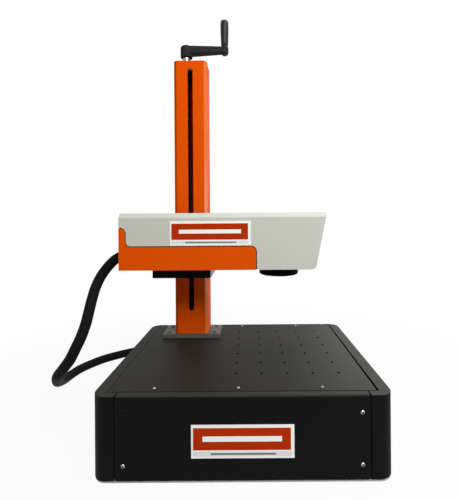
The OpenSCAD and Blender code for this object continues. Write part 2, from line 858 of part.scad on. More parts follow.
module fan_frame() {
    strut_w = 5;
    color(lens_black) difference() {
        union() {
            difference() {
                block([fan_x - fan_w / 2, fan_y0, rear_z - fan_w / 2],
                      [fan_x + fan_w / 2, fan_y1, rear_z + fan_w / 2]);
                rod_y(fan_x, rear_z, fan_y0 - eps, fan_y1 + eps, fan_bore_r);
            }
            for (turn = [0:90:270])
                translate([fan_x, fan_y0, rear_z]) rotate([0, turn + 45, 0])
                    block([fan_hub_r - strut_w, fan_strut_step, -strut_w / 2],
                          [fan_bore_r + fan_wall / 2, fan_strut_t - fan_strut_step, strut_w / 2]);
            rod_y(fan_x, rear_z, fan_y0, fan_y0 + fan_strut_t, fan_hub_r);
            rod_y(fan_x, rear_z, fan_y0, fan_shaft_y1, fan_shaft_r);
        }
        at_fan_screws() translate([0, 0, -sheet_t - fan_t - eps])
            cylinder(h = fan_t + 2 * eps, r = fan_screw_r);
    }
}

module fan_rotor() {
    blade_t = 2;
    blade_pitch = 35;
    blade_root = 1.5;
    y0 = fan_y0 + fan_strut_t + fan_end_gap;
    y1 = fan_shaft_y1 + 3;
    blade_w = (y1 - y0) * 0.8;
    color(lens_black) difference() {
        union() {
            rod_y(fan_x, rear_z, y0, y1, fan_hub_r);
            for (i = [0:fan_blades - 1])
                translate([fan_x, (y0 + y1) / 2, rear_z])
                    rotate([0, i * 360 / fan_blades, 0]) rotate([blade_pitch, 0, 0])
                        block([fan_hub_r - blade_root, -blade_w / 2, -blade_t / 2],
                              [fan_bore_r - fan_blade_gap, blade_w / 2, blade_t / 2]);
        }
        rod_y(fan_x, rear_z, y0 - eps, fan_shaft_y1 + fan_end_gap, fan_shaft_r + running_fit);
    }
}

module fan_guard() {
    lug_r = 4;
    rings = 4;
    arm = fan_screw_gap * sqrt(2);
    color(steel) difference() {
        union() {
            for (i = [1:rings]) {
                r = fan_bore_r * i / rings;
                translate([fan_x, back_y, rear_z]) rotate([-90, 0, 0]) difference() {
                    cylinder(h = guard_wire, r = r);
                    translate([0, 0, -eps]) cylinder(h = guard_wire + 2 * eps, r = r - guard_wire);
                }
            }
            for (turn = [45, 135])
                translate([fan_x, back_y, rear_z]) rotate([0, turn, 0])
                    block([-arm, 0, -guard_wire / 2], [arm, guard_wire, guard_wire / 2]);
            at_fan_screws() cylinder(h = guard_wire, r = lug_r);
        }
        at_fan_screws() translate([0, 0, -eps]) cylinder(h = guard_wire + 2 * eps, r = fan_screw_r);
    }
}

module power_inlet() {
    y1 = back_y + inlet_flange_t;
    hollow_w = rocker_w / 2 + rocker_gap;
    hollow_h = rocker_half + 2;
    hollow_depth = 18;
    pivot_depth = 4;
    pin = [2, 12, 5];
    pin_gap = 7;
    pin_rise = [-2, 1, -2];
    color(lens_black) union() {
        difference() {
            union() {
                block([inlet_x - inlet_w / 2, back_y - inlet_t, rear_z - inlet_h / 2],
                      [inlet_x + inlet_w / 2, y1, rear_z + inlet_h / 2]);
                block([inlet_x - inlet_w / 2 - inlet_flange, back_y, rear_z - inlet_h / 2 - inlet_flange],
                      [inlet_x + inlet_w / 2 + inlet_flange, y1, rear_z + inlet_h / 2 + inlet_flange]);
            }
            block([inlet_x - iec_w / 2, y1 - iec_depth, iec_z - iec_h / 2],
                  [inlet_x + iec_w / 2, y1 + eps, iec_z + iec_h / 2]);
            block([inlet_x - hollow_w, back_y - hollow_depth, rocker_z - hollow_h],
                  [inlet_x + hollow_w, y1 + eps, rocker_z + hollow_h]);
            rod_x(rocker_y, rocker_z, inlet_x - hollow_w - pivot_depth, inlet_x + hollow_w + pivot_depth,
                  rocker_pin_r + running_fit);
        }
        for (i = [0:2])
            translate([inlet_x + (i - 1) * pin_gap, y1 - iec_depth - eps, iec_z + pin_rise[i]]
                      - [pin.x / 2, 0, pin.z / 2]) cube(pin);
    }
}

// Rocker of the power switch, pressed in at its lower end, with a pivot pin at each side
module power_rocker() {
    pivot_len = 3.5;
    pin_reach = rocker_w / 2 + rocker_gap + pivot_len;
    root = 6;
    lip = 8;
    dip = 5.5;
    color(rubber_black) translate([inlet_x, rocker_y, rocker_z]) rotate([-rocker_tilt, 0, 0]) union() {
        along_x(-rocker_w / 2, rocker_w / 2)
            polygon([[-root, -root], [-root, root], [lip, rocker_half], [dip, 0], [lip, -rocker_half]]);
        rod_x(0, 0, -pin_reach, pin_reach, rocker_pin_r);
    }
}

module data_socket() {
    lip = 2;
    y1 = back_y + lip;
    color(steel) difference() {
        union() {
            block([data_x - data_w / 2, back_y - data_depth, rear_z - data_w / 2],
                  [data_x + data_w / 2, y1, rear_z + data_w / 2]);
            block([data_x - data_w / 2 - lip, back_y, rear_z - data_w / 2 - lip],
                  [data_x + data_w / 2 + lip, y1, rear_z + data_w / 2 + lip]);
        }
        block([data_x - data_bore.x / 2, back_y - data_depth + lip, rear_z - data_bore.y / 2],
              [data_x + data_bore.x / 2, y1 + eps, rear_z + data_bore.y / 2]);
    }
}

// Tapered boot of a hose gland, from the wall at the origin along +Z
module gland_boot(len) {
    cylinder(h = len, r1 = gland_d / 2 - gland_root_inset, r2 = hose_d / 2 + gland_step);
}

// Hose gland: a collar and a boot outside the wall, a stub through it and a lock nut inside
module base_hose_gland() {
    color(rubber_black) union() {
        rod_y(rear_gland_x, rear_gland_z, back_y, back_y + gland_collar_t, gland_d / 2);
        translate([rear_gland_x, back_y, rear_gland_z]) rotate([-90, 0, 0]) gland_boot(rear_gland_len);
        rod_y(rear_gland_x, rear_gland_z, inner_back_y - gland_nut_t - eps, back_y + eps, gland_stub_r);
        rod_y(rear_gland_x, rear_gland_z, inner_back_y - gland_nut_t, inner_back_y, gland_nut_r);
    }
}

module head_hose_gland() {
    boot_len = norm(head_boot);
    inside = head_x0 + head_wall;
    tilt = acos(hose_out.z);
    heading = atan2(hose_out.y, hose_out.x);
    color(rubber_black) union() {
        rod_x(hose_entry.y, hose_entry.z, head_x0 - gland_collar_t, head_x0, gland_d / 2);
        intersection() {
            translate(hose_entry) rotate([0, tilt, heading]) gland_boot(boot_len);
            block(hose_entry - [2 * boot_len, gland_d, gland_d], hose_entry + [0, gland_d, gland_d]);
        }
        rod_x(hose_entry.y, hose_entry.z, head_x0 - eps, inside + gland_nut_t + eps, gland_stub_r);
        rod_x(hose_entry.y, hose_entry.z, inside, inside + gland_nut_t, gland_nut_r);
    }
}

// Hose

// Direction of the route at point i, along the glands at its two ends
function route_way(p, i) =
    i == 0 ? hose_out : i == len(p) - 1 ? [0, -1, 0] : unit(p[i + 1] - p[i - 1]);
// A cross direction that turns as little as possible from ring to ring
function cross_ways(ways, i, list) =
    i == len(ways) ? list
    : let (last = i == 0 ? [0, 1, 0] : list[i - 1])
      cross_ways(ways, i + 1, concat(list, [unit(last - (last * ways[i]) * ways[i])]));

module conduit_hose() {
    ways = [for (i = [0:len(hose_route) - 1]) route_way(hose_route, i)];
    sides = cross_ways(ways, 0, []);
    rings = len(hose_route);
    n = hose_sides;
    points = [for (i = [0:rings - 1], k = [0:n - 1])
        let (turn = 360 * k / n)
        hose_route[i] + hose_d / 2 * (cos(turn) * sides[i] + sin(turn) * cross(ways[i], sides[i]))];
    skin = [for (i = [0:rings - 2], k = [0:n - 1], half = [0, 1])
        let (a = i * n + k, b = i * n + (k + 1) % n)
        half == 0 ? [a, a + n, b] : [b, a + n, b + n]];
    ends = [[for (k = [0:n - 1]) k], [for (k = [n - 1:-1:0]) (rings - 1) * n + k]];
    color(rubber_black) polyhedron(points, concat(skin, ends));
}

// Labels

module base_label() {
    z = foot_h + base_label_rise;
    color(label_red) block([-base_label_w / 2, front_y - label_t, z - base_label_h / 2],
                           [base_label_w / 2, front_y, z + base_label_h / 2]);
}

module head_label() {
    x = col_x + head_label_x;
    z = head_z1 - head_bevel - head_label_gap - head_label_h / 2;
    color(label_red) block([x - head_label_w / 2, head_y0 - label_t, z - head_label_h / 2],
                           [x + head_label_w / 2, head_y0, z + head_label_h / 2]);
}

// Column and lift

module column_foot_plate() {
    color(steel) difference() {
        block([col_x - foot_plate_w / 2, col_y - foot_plate_d / 2, deck_z],
              [col_x + foot_plate_w / 2, col_y + foot_plate_d / 2, col_foot_z]);
        at_foot_bolts() translate([0, 0, -eps])
            cylinder(h = foot_plate_t + 2 * eps, r = foot_shank_r);
    }
}

module foot_plate_bolts() {
    color(steel) at_foot_bolts() translate([0, 0, foot_plate_t])
        button_screw(foot_bolt_r, foot_head_h, foot_shank_r, foot_plate_t + deck_t);
}

// Places of the screws that hold the bearing blocks, on the column's back
module at_column_screws() {
    for (sx = [-1, 1], z = column_screw_zs)
        translate([col_x + sx * column_screw_gap / 2, col_back_y, z]) rotate([-90, 0, 0]) children();
}

// Outline of the column from above, its front corners bevelled, drawn in by the given amount
module column_section(inset) {
    bevel = col_bevel - inset * (2 - sqrt(2));
    x = col_w / 2 - inset;
    y = col_d / 2 - inset;
    polygon([[x, y], [-x, y], [-x, bevel - y], [bevel - x, -y], [x - bevel, -y], [x, bevel - y]]);
}

module column_tube() {
    color(signal_orange) difference() {
        translate([col_x, col_y, col_foot_z]) linear_extrude(col_len) difference() {
            column_section(0);
            column_section(col_wall);
        }
        block([col_x - slot_w / 2, col_front_y - eps, slot_z0 + slot_w / 2],
              [col_x + slot_w / 2, col_front_y + col_wall + eps, slot_z1 - slot_w / 2]);
        for (z = [slot_z0 + slot_w / 2, slot_z1 - slot_w / 2])
            rod_y(col_x, z, col_front_y - eps, col_front_y + col_wall + eps, slot_w / 2);
        at_column_screws() translate([0, 0, -col_wall - eps])
            cylinder(h = col_wall + 2 * eps, r = column_screw_r);
    }
}

module column_screws() {
    color(steel) at_column_screws()
        button_screw(column_head_r, button_h, column_screw_r, col_wall + screw_bite);
}

// Block that fills the tube's end, with the holes of its screws; the children are cut out of it
module bearing_block(z0) {
    difference() {
        translate([col_x, col_y + block_gap / 2, z0])
            linear_extrude(bearing_block_h) column_section(col_wall + block_gap / 2);
        children();
        at_column_screws() translate([0, 0, -col_wall - screw_bite - eps])
            cylinder(h = screw_bite + 2 * eps, r = column_screw_r);
    }
}

module bottom_bearing_block() {
    color(cast_aluminium) bearing_block(col_foot_z) {
        rod_z(screw_x, col_y, low_block_z - seat_depth - shoulder_gap, low_block_z + eps,
              journal_d / 2 + running_fit);
        rod_z(rod_x, col_y, low_block_z - seat_depth, low_block_z + eps, rod_d / 2);
    }
}

module top_bearing_block() {
    color(cast_aluminium) bearing_block(top_block_z0) {
        rod_z(screw_x, col_y, top_block_z0 - eps, top_block_z1 + eps, bearing_r);
        rod_z(rod_x, col_y, top_block_z0 - eps, top_block_z0 + seat_depth, rod_d / 2);
    }
}

module top_bearing() {
    color(brass) difference() {
        union() {
            rod_z(screw_x, col_y, top_block_z0, top_block_z1 + eps, bearing_r);
            rod_z(screw_x, col_y, top_block_z1, top_block_z1 + bearing_flange_h, bearing_flange_r);
        }
        rod_z(screw_x, col_y, top_block_z0 - eps, top_block_z1 + bearing_flange_h + eps,
              journal_d / 2 + running_fit);
    }
}

module guide_rod() {
    color(steel) rod_z(rod_x, col_y, low_block_z - seat_depth, top_block_z0 + seat_depth, rod_d / 2);
}

module lead_screw() {
    color(steel) union() {
        rod_z(screw_x, col_y, low_block_z - seat_depth, low_block_z + shoulder_gap + eps, journal_d / 2);
        rod_z(screw_x, col_y, low_block_z + shoulder_gap, top_block_z0 - shoulder_gap, screw_d / 2);
        rod_z(screw_x, col_y, top_block_z0 - shoulder_gap - eps, hub_z1 - hub_edge_r, journal_d / 2);
        rod_z(screw_x, col_y, top_block_z1 + bearing_flange_h + collar_gap, hub_z0 - collar_gap,
              collar_d / 2);
    }
}

module carriage_block() {
    color(cast_aluminium) difference() {
        union() {
            block([col_x - carriage_w / 2, carriage_y0, carriage_z0],
                  [col_x + carriage_w / 2, carriage_y0 + carriage_d, carriage_z1]);
            block([col_x - neck_w / 2, bracket_y1, neck_z0],
                  [col_x + neck_w / 2, carriage_y0 + eps, neck_z0 + neck_h]);
        }
        rod_z(screw_x, col_y, carriage_z0 - eps, carriage_z1 + eps, nut_d / 2);
        rod_z(rod_x, col_y, carriage_z0 - eps, carriage_z1 + eps, bush_d / 2);
        for (z = bracket_bolt_zs)
            rod_y(col_x, z, bracket_y1 - eps, carriage_y0 + screw_bite, bracket_shank_r);
    }
}

module lead_nut() {
    color(brass) difference() {
        rod_z(screw_x, col_y, carriage_z0, carriage_z1, nut_d / 2);
        rod_z(screw_x, col_y, carriage_z0 - eps, carriage_z1 + eps, screw_d / 2 + running_fit);
    }
}

module guide_bush() {
    color(brass) difference() {
        rod_z(rod_x, col_y, carriage_z0, carriage_z1, bush_d / 2);
        rod_z(rod_x, col_y, carriage_z0 - eps, carriage_z1 + eps, rod_d / 2 + running_fit);
    }
}

// Places of the bolts that hold the head on the shelf, on the shelf's underside
module at_shelf_bolts() {
    for (x = shelf_bolt_xs, y = shelf_bolt_ys)
        translate([x, y, shelf_z]) rotate([180, 0, 0]) children();
}

module head_bracket() {
    color(powder_black) difference() {
        union() {
            block([col_x - bracket_w / 2, bracket_y0 - shelf_reach, shelf_z],
                  [col_x + bracket_w / 2, bracket_y1, head_z0]);
            block([col_x - bracket_w / 2, bracket_y0, shelf_z],
                  [col_x + bracket_w / 2, bracket_y1, head_z0 + bracket_plate_h]);
        }
        for (z = bracket_bolt_zs) {
            rod_y(col_x, z, bracket_y0 - eps, bracket_y1 + eps, bracket_shank_r);
            rod_y(col_x, z, bracket_y0 - eps, bracket_y0 + bracket_bolt_head_h, bracket_head_r);
        }
        at_shelf_bolts() {
            translate([0, 0, -shelf_t - eps]) cylinder(h = shelf_t + 2 * eps, r = bracket_shank_r);
            translate([0, 0, -bracket_bolt_head_h])
                cylinder(h = bracket_bolt_head_h + eps, r = bracket_head_r);
        }
    }
}

module bracket_bolts() {
    color(steel) for (z = bracket_bolt_zs)
        translate([col_x, bracket_y0 + bracket_bolt_head_h, z]) rotate([90, 0, 0])
            cap_screw(bracket_head_r, bracket_bolt_head_h - eps, bracket_shank_r,
                      carriage_y0 + screw_bite - bracket_y0 - bracket_bolt_head_h);
}

module shelf_bolts() {
    color(steel) at_shelf_bolts() translate([0, 0, -bracket_bolt_head_h])
        cap_screw(bracket_head_r, bracket_bolt_head_h - eps, bracket_shank_r,
                  bench_top - shelf_z - bracket_bolt_head_h);
}

// Marking head

// Corner of radius r between two directions, rounded off: takes the sharp tip away
module sharp_tip(tip, way_a, way_b, r) {
    reach = r / tan(acos(way_a * way_b) / 2);
    middle = tip + unit(way_a + way_b) * norm([r, reach]);
    polygon([tip, tip + way_a * reach, middle, tip + way_b * reach]);
}

// The circle that fills such a corner
module round_tip(tip, way_a, way_b, r) {
    reach = r / tan(acos(way_a * way_b) / 2);
    translate(tip + unit(way_a + way_b) * norm([r, reach])) circle(r);
}

// Outline of the head from the front, drawn in by the given amount
module head_outline(inset) {
    lean = unit([nose_lean, head_h]);
    slip = inset / lean.y;
    z0 = head_z0 + inset;
    z1 = head_z1 - inset;
    x0 = head_x0 + inset;
    foot = [nose_x + inset * lean.x / lean.y - slip, z0];
    crown = [head_x1 - inset * lean.x / lean.y - slip, z1];
    r = nose_r - inset;
    difference() {
        polygon([[x0, z0], foot, crown, [x0, z1]]);
        sharp_tip(foot, [-1, 0], lean, r);
    }
    round_tip(foot, [-1, 0], lean, r);
}

// Section of the head from its end, with bevelled top edges, drawn in by the given amount
module head_section(inset) {
    bevel = head_bevel - inset * (2 - sqrt(2));
    y0 = head_y0 + inset;
    y1 = head_y1 - inset;
    z0 = head_z0 + inset;
    z1 = head_z1 - inset;
    polygon([[y0, z0], [y1, z0], [y1, z1 - bevel], [y1 - bevel, z1], [y0 + bevel, z1], [y0, z1 - bevel]]);
}

// The room inside the head
module head_room() {
    intersection() {
        along_y(head_y0, head_y1) head_outline(head_wall);
        along_x(head_x0, head_x1) head_section(head_wall);
    }
}

// Outline of the chassis from the front, let out by the given amount
module chassis_outline(out) {
    r = chassis_r + out;
    x1 = chassis_x1 + out;
    z1 = chassis_z1 + out;
    rx1 = riser_x1 + out;
    rz1 = riser_z1 + out;
    inner_r = chassis_r - out;
    x0 = head_x0 - out;
    z0 = head_z0 - out;
    area([x0, z0], [x1 - r, z1]);
    area([x0, z0], [x1, z1 - r]);
    translate([x1 - r, z1 - r]) circle(r);
    area([x0, z0], [rx1 - r, rz1]);
    area([x0, z0], [rx1, rz1 - r]);
    translate([rx1 - r, rz1 - r]) circle(r);
    difference() {
        area([rx1 - eps, z1 - eps], [rx1 + inner_r, z1 + inner_r]);
        translate([rx1 + inner_r, z1 + inner_r]) circle(inner_r);
    }
}

// What is taken off the cover's lower corner beside the chassis
module cover_foot_cut() {
    x = chassis_x1 + joint_line;
    difference() {
        area([x - eps, head_z0 - eps], [x + cover_foot_r, head_z0 + cover_foot_r]);
        translate([x + cover_foot_r, head_z0 + cover_foot_r]) circle(cover_foot_r);
    }
}

// Places of the screws that hold the cover, on the chassis' underside
module at_cover_posts() {
    for (x = post_xs, y = post_ys) translate([x, y, head_z0]) children();
}

module head_chassis() {
    color(signal_orange) difference() {
        intersection() {
            along_y(head_y0, head_y1) chassis_outline(0);
            along_x(head_x0, head_x1) head_section(0);
        }
        block([head_x0 + head_wall, head_y0 + head_wall, head_floor_z],
              [head_x1, head_y1 - head_wall, head_z1]);
        rod_x(hose_entry.y, hose_entry.z, head_x0 - eps, head_x0 + head_wall + eps, gland_stub_r);
        at_cover_posts() translate([0, 0, -eps]) {
            cylinder(h = head_wall + 2 * eps, r = post_screw_r);
            cylinder(h = post_sink + eps, r = post_head_r + post_head_gap);
        }
        at_shelf_bolts() translate([0, 0, -shelf_t - head_wall - eps])
            cylinder(h = head_wall + 2 * eps, r = bracket_shank_r);
    }
}

module head_cover() {
    color(cover_grey) difference() {
        union() {
            difference() {
                intersection() {
                    along_y(head_y0, head_y1) difference() {
                        head_outline(0);
                        chassis_outline(joint_line);
                        cover_foot_cut();
                    }
                    along_x(head_x0, head_x1) head_section(0);
                }
                head_room();
            }
            at_cover_posts() translate([0, 0, head_wall]) cylinder(h = post_h, r = post_r);
            for (x = post_xs, side = [-1, 1]) {
                wall_y = side < 0 ? head_y0 + head_wall / 2 : head_y1 - head_wall / 2;
                rib = [wall_y, wall_y - side * (post_inset + head_wall / 2)];
                block([x - post_rib / 2, min(rib), chassis_z1 + post_rib],
                      [x + post_rib / 2, max(rib), head_floor_z + post_h - post_rib]);
            }
        }
        at_cover_posts() translate([0, 0, head_wall - eps])
            cylinder(h = screw_bite + 2 * eps, r = post_screw_r);
        rod_z(lens_ax, lens_ay, head_z0 - eps, head_floor_z + eps, lens_d / 2 + lens_hole_gap);
    }
}

module head_cover_screws() {
    color(steel) at_cover_posts() translate([0, 0, post_sink]) rotate([180, 0, 0])
        button_screw(post_head_r, post_head_h, post_screw_r, head_wall - post_sink + screw_bite);
}

module optics_bench() {
    color(cast_aluminium) difference() {
        block([bench_x0, head_mid_y - bench_w / 2, head_floor_z],
              [bench_x1, head_mid_y + bench_w / 2, bench_top]);
        rod_z(lens_ax, lens_ay, head_floor_z - eps, bench_top + eps, lens_thread_d / 2);
        at_shelf_bolts() translate([0, 0, -(bench_top - shelf_z) - eps])
            cylinder(h = bench_t + 2 * eps, r = bracket_shank_r);
    }
}

// Lens barrel: two steps below the head, a chamfered mouth and a threaded neck in the bench
module lens_barrel() {
    step = 1.5;
    chamfer = 5;
    low_r = lens_d / 2 - step;
    step_z = lens_z0 + lens_drop / 2;
    color(lens_black) translate([lens_ax, lens_ay, 0]) difference() {
        union() {
            translate([0, 0, head_floor_z - eps]) cylinder(h = bench_t + eps, r = lens_thread_d / 2);
            translate([0, 0, step_z]) cylinder(h = head_floor_z - step_z, r = lens_d / 2);
            translate([0, 0, lens_z0 + chamfer]) cylinder(h = lens_drop / 2, r = low_r);
            translate([0, 0, lens_z0]) cylinder(h = chamfer, r1 = low_r - chamfer, r2 = low_r);
        }
        translate([0, 0, lens_z0 - eps]) cylinder(h = head_h, r = lens_clear_d / 2 - lens_lip);
        translate([0, 0, lens_z0 + lens_seat]) cylinder(h = head_h, r = lens_clear_d / 2);
    }
}

module lens_glass() {
    bulge = 5;
    bow = (lens_clear_d * lens_clear_d / 4 + bulge * bulge) / (2 * bulge);
    color(glass_blue) translate([lens_ax, lens_ay, lens_z0 + lens_seat]) union() {
        cylinder(h = lens_rim, r = lens_clear_d / 2);
        intersection() {
            translate([0, 0, lens_rim + bulge - bow]) sphere(r = bow, $fn = 128);
            translate([0, 0, lens_rim - eps])
                cylinder(h = bulge + 2 * eps, r = lens_clear_d / 2 - lens_ring_w - eps);
        }
    }
}

module lens_ring() {
    ring_h = 8;
    color(lens_black) translate([lens_ax, lens_ay, lens_z0 + lens_seat + lens_rim]) difference() {
        cylinder(h = ring_h, r = lens_clear_d / 2);
        translate([0, 0, -eps]) cylinder(h = ring_h + 2 * eps, r = lens_clear_d / 2 - lens_ring_w);
    }
}

// Scanning block: a base with a window over the lens, a wall for one motor and a bridge for the other
module galvo_block() {
    base_t = 6;
    margin = 12;
    half = galvo_d / 2 + galvo_frame;
    y0 = lens_ay - half;
    y1 = beam_y + half;
    color(cast_aluminium) difference() {
        union() {
            block([lens_ax - lens_clear_d / 2, y0 - margin, bench_top],
                  [galvo_wall_x + galvo_wall + margin, y1, bench_top + base_t]);
            block([galvo_wall_x, y0, bench_top], [galvo_wall_x + galvo_wall, y1, bridge_z0 + eps]);
            block([lens_ax - half, beam_y - half, bridge_z0],
                  [galvo_wall_x + galvo_wall, y1, bridge_z0 + galvo_wall]);
        }
        rod_z(lens_ax, lens_ay, bench_top - eps, bench_top + base_t + eps, galvo_d * 0.8);
        rod_x(lens_ay, beam_z, galvo_wall_x - eps, galvo_wall_x + galvo_wall + eps, galvo_d / 2);
        rod_z(lens_ax, beam_y, bridge_z0 - eps, bridge_z0 + galvo_wall + eps, galvo_d / 2);
    }
}

// Scanning motor along +Z from its mounting face, with a running bore for the mirror shaft
module galvo_motor() {
    difference() {
        cylinder(h = galvo_len, r = galvo_d / 2);
        translate([0, 0, -eps]) cylinder(h = galvo_wall + eps, r = mirror_shaft_d / 2 + running_fit);
    }
}

module x_galvo_motor() {
    color(lens_black) translate([lens_ax, beam_y, bridge_z0]) galvo_motor();
}

module y_galvo_motor() {
    color(lens_black) translate([galvo_wall_x, lens_ay, beam_z]) rotate([0, 90, 0]) galvo_motor();
}

// Scanning mirror: a plate about the origin, with a shaft along +Z into the motor face at height face
module scan_mirror(plate_w, plate_h, face) {
    plate_t = 2.5;
    shaft_z0 = plate_h / 2 - 2;
    shaft_z1 = face + galvo_wall - 1;
    union() {
        translate([-plate_w / 2, -plate_t / 2, -plate_h / 2]) cube([plate_w, plate_t, plate_h]);
        translate([0, 0, shaft_z0]) cylinder(h = shaft_z1 - shaft_z0, r = mirror_shaft_d / 2);
    }
}

module x_mirror() {
    color(steel) translate([lens_ax, beam_y, beam_z]) rotate([0, 0, 45])
        scan_mirror(12, 16, bridge_rise);
}

module y_mirror() {
    color(steel) translate([lens_ax, lens_ay, beam_z]) rotate([0, 90, 0]) rotate([0, 0, 45])
        scan_mirror(18, 20, galvo_stand);
}

module beam_isolator() {
    neck_r = isolator_d / 2 - 6;
    neck_l = 20;
    color(lens_black) difference() {
        union() {
            rod_x(beam_y, beam_z, isolator_x0, isolator_x1, isolator_d / 2);
            rod_x(beam_y, beam_z, isolator_x1 - eps, isolator_x1 + neck_l, neck_r);
        }
        rod_x(beam_y, beam_z, isolator_x1 - neck_l, isolator_x1 + neck_l + eps, neck_r - 4);
    }
}

module isolator_clamps() {
    clamp_l = 24;
    clamp_wall = 5;
    half = isolator_d / 2 + clamp_wall;
    color(cast_aluminium) for (x = [isolator_x0 + clamp_l, isolator_x1 - 2 * clamp_l])
        difference() {
            block([x, beam_y - half, bench_top], [x + clamp_l, beam_y + half, beam_z + half]);
            rod_x(beam_y, beam_z, x - eps, x + clamp_l + eps, isolator_d / 2);
        }
}

// Crank

module crank_arm() {
    color(crank_grey) difference() {
        union() {
            translate([screw_x, col_y, 0]) {
                rod_z(0, 0, hub_z0, hub_z1 - hub_edge_r, hub_d / 2);
                rod_z(0, 0, hub_z0, hub_z1, hub_d / 2 - hub_edge_r);
                translate([0, 0, hub_z1 - hub_edge_r]) rotate_extrude() intersection() {
                    translate([hub_d / 2 - hub_edge_r, 0]) circle(hub_edge_r);
                    square([hub_d, hub_d]);
                }
                intersection() {
                    translate([0, 0, arm_z0]) linear_extrude(arm_h) polygon([
                        [0, -arm_root_w / 2], [crank_len, -arm_tip_w / 2],
                        [crank_len, arm_tip_w / 2], [0, arm_root_w / 2]]);
                    along_y(-arm_root_w, arm_root_w) polygon([
                        [0, arm_z0], [crank_len, arm_tip_z0], [crank_len, arm_z1], [0, arm_z1]]);
                }
            }
            rod_z(grip_x, col_y, boss_z0, arm_z1, boss_d / 2);
        }
        rod_z(screw_x, col_y, hub_z0 - eps, hub_z1 - hub_edge_r, journal_d / 2);
        rod_z(grip_x, col_y, boss_z0 - eps, arm_z1 + eps, spindle_d / 2);
        rod_y(screw_x, (hub_z0 + hub_z1) / 2, col_y - hub_d, col_y - journal_d / 2, set_screw_r);
    }
}

module crank_set_screw() {
    key_r = 1.4;
    sink = 1;
    z = (hub_z0 + hub_z1) / 2;
    y0 = col_y - hub_d / 2 + sink;
    y1 = col_y - journal_d / 2;
    color(rubber_black) difference() {
        rod_y(screw_x, z, y0, y1, set_screw_r);
        translate([screw_x, (y0 + y1) / 2, z]) rotate([90, 0, 0])
            cylinder(h = y1 - y0, r = key_r, $fn = 6);
    }
}

module grip_spindle() {
    head_h = 3;
    color(steel) union() {
        rod_z(grip_x, col_y, boss_z0 - head_h, boss_z0, spindle_d / 2 + 2);
        rod_z(grip_x, col_y, boss_z0 - eps, spindle_top, spindle_d / 2);
    }
}

// Turning grip: a slim neck, a slightly tapered body and a round crown
module crank_grip() {
    neck_h = 3;
    crown_r = 6;
    r0 = grip_foot_d / 2;
    r1 = grip_d / 2;
    color(crank_grey) translate([grip_x, col_y, grip_z0]) difference() {
        union() {
            cylinder(h = neck_h + eps, r = r0 - 1.5);
            translate([0, 0, neck_h]) cylinder(h = grip_len / 2 - neck_h, r1 = r0, r2 = r1);
            translate([0, 0, grip_len / 2]) cylinder(h = grip_len / 2 - crown_r, r = r1);
            translate([0, 0, grip_len / 2]) cylinder(h = grip_len / 2, r = r1 - crown_r);
            translate([0, 0, grip_len - crown_r]) rotate_extrude() intersection() {
                translate([r1 - crown_r, 0]) circle(crown_r);
                square([grip_d, grip_d]);
            }
        }
        translate([0, 0, -eps])
            cylinder(h = spindle_top - grip_z0 + 2 * eps, r = spindle_d / 2 + running_fit);
    }
}

base_tray();
left_side_cover();
right_side_cover();
front_panel();
rear_panel();
front_rail();
rear_rail();
top_plate();
top_plate_screws();
front_panel_screws();
rear_panel_screws();
side_cover_screws();
rubber_feet();
laser_source();
power_supply();
control_board();
fan_frame();
fan_guard();
fan_rotor();
power_inlet();
power_rocker();
data_socket();
base_hose_gland();
conduit_hose();
base_label();
column_foot_plate();
foot_plate_bolts();
column_tube();
column_screws();
top_bearing_block();
bottom_bearing_block();
top_bearing();
guide_rod();
carriage_block();
lead_nut();
guide_bush();
head_bracket();
bracket_bolts();
shelf_bolts();
head_chassis();
head_cover();
head_cover_screws();
head_hose_gland();
head_label();
optics_bench();
lens_barrel();
lens_glass();
lens_ring();
galvo_block();
x_galvo_motor();
y_galvo_motor();
x_mirror();
y_mirror();
beam_isolator();
isolator_clamps();
lead_screw();
crank_arm();
crank_set_screw();
grip_spindle();
crank_grip();
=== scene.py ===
import json
import math

import bmesh
import bpy
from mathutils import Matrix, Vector


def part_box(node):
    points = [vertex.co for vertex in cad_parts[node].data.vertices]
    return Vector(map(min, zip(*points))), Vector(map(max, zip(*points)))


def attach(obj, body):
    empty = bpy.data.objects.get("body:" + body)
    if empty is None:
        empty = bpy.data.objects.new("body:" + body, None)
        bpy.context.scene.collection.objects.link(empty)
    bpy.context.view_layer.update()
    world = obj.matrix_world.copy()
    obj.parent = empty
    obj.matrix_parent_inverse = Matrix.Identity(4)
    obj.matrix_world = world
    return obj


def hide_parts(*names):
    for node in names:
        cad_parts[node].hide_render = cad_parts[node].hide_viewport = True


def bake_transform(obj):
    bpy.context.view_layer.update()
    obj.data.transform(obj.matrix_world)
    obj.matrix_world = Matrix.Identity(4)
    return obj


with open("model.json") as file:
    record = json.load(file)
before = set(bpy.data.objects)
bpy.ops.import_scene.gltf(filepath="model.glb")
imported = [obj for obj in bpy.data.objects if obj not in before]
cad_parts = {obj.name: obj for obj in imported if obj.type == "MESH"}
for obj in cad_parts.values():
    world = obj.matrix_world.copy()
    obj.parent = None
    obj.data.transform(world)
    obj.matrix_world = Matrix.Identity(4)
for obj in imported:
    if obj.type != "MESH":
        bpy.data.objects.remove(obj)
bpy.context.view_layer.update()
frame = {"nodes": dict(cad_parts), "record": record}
cadNodes = frame["nodes"]
bodyOf = {node: body for body, held in frame["record"]["behaviour"]["bodies"].items() for node in held}
slotOf = {row["node"]: row["material_slot"] for row in frame["record"]["subparts"]}
mm = 0.001
scene = bpy.context.scene
scene.view_settings.view_transform = "Standard"


# small helpers

def addNode(tree, kind, inputs=None, **settings):
    node = tree.nodes.new(kind)
    for key, value in settings.items():
        setattr(node, key, value)
    for key, value in (inputs or {}).items():
        if isinstance(value, bpy.types.NodeSocket):
            tree.links.new(value, node.inputs[key])
        else:
            node.inputs[key].default_value = value
    return node


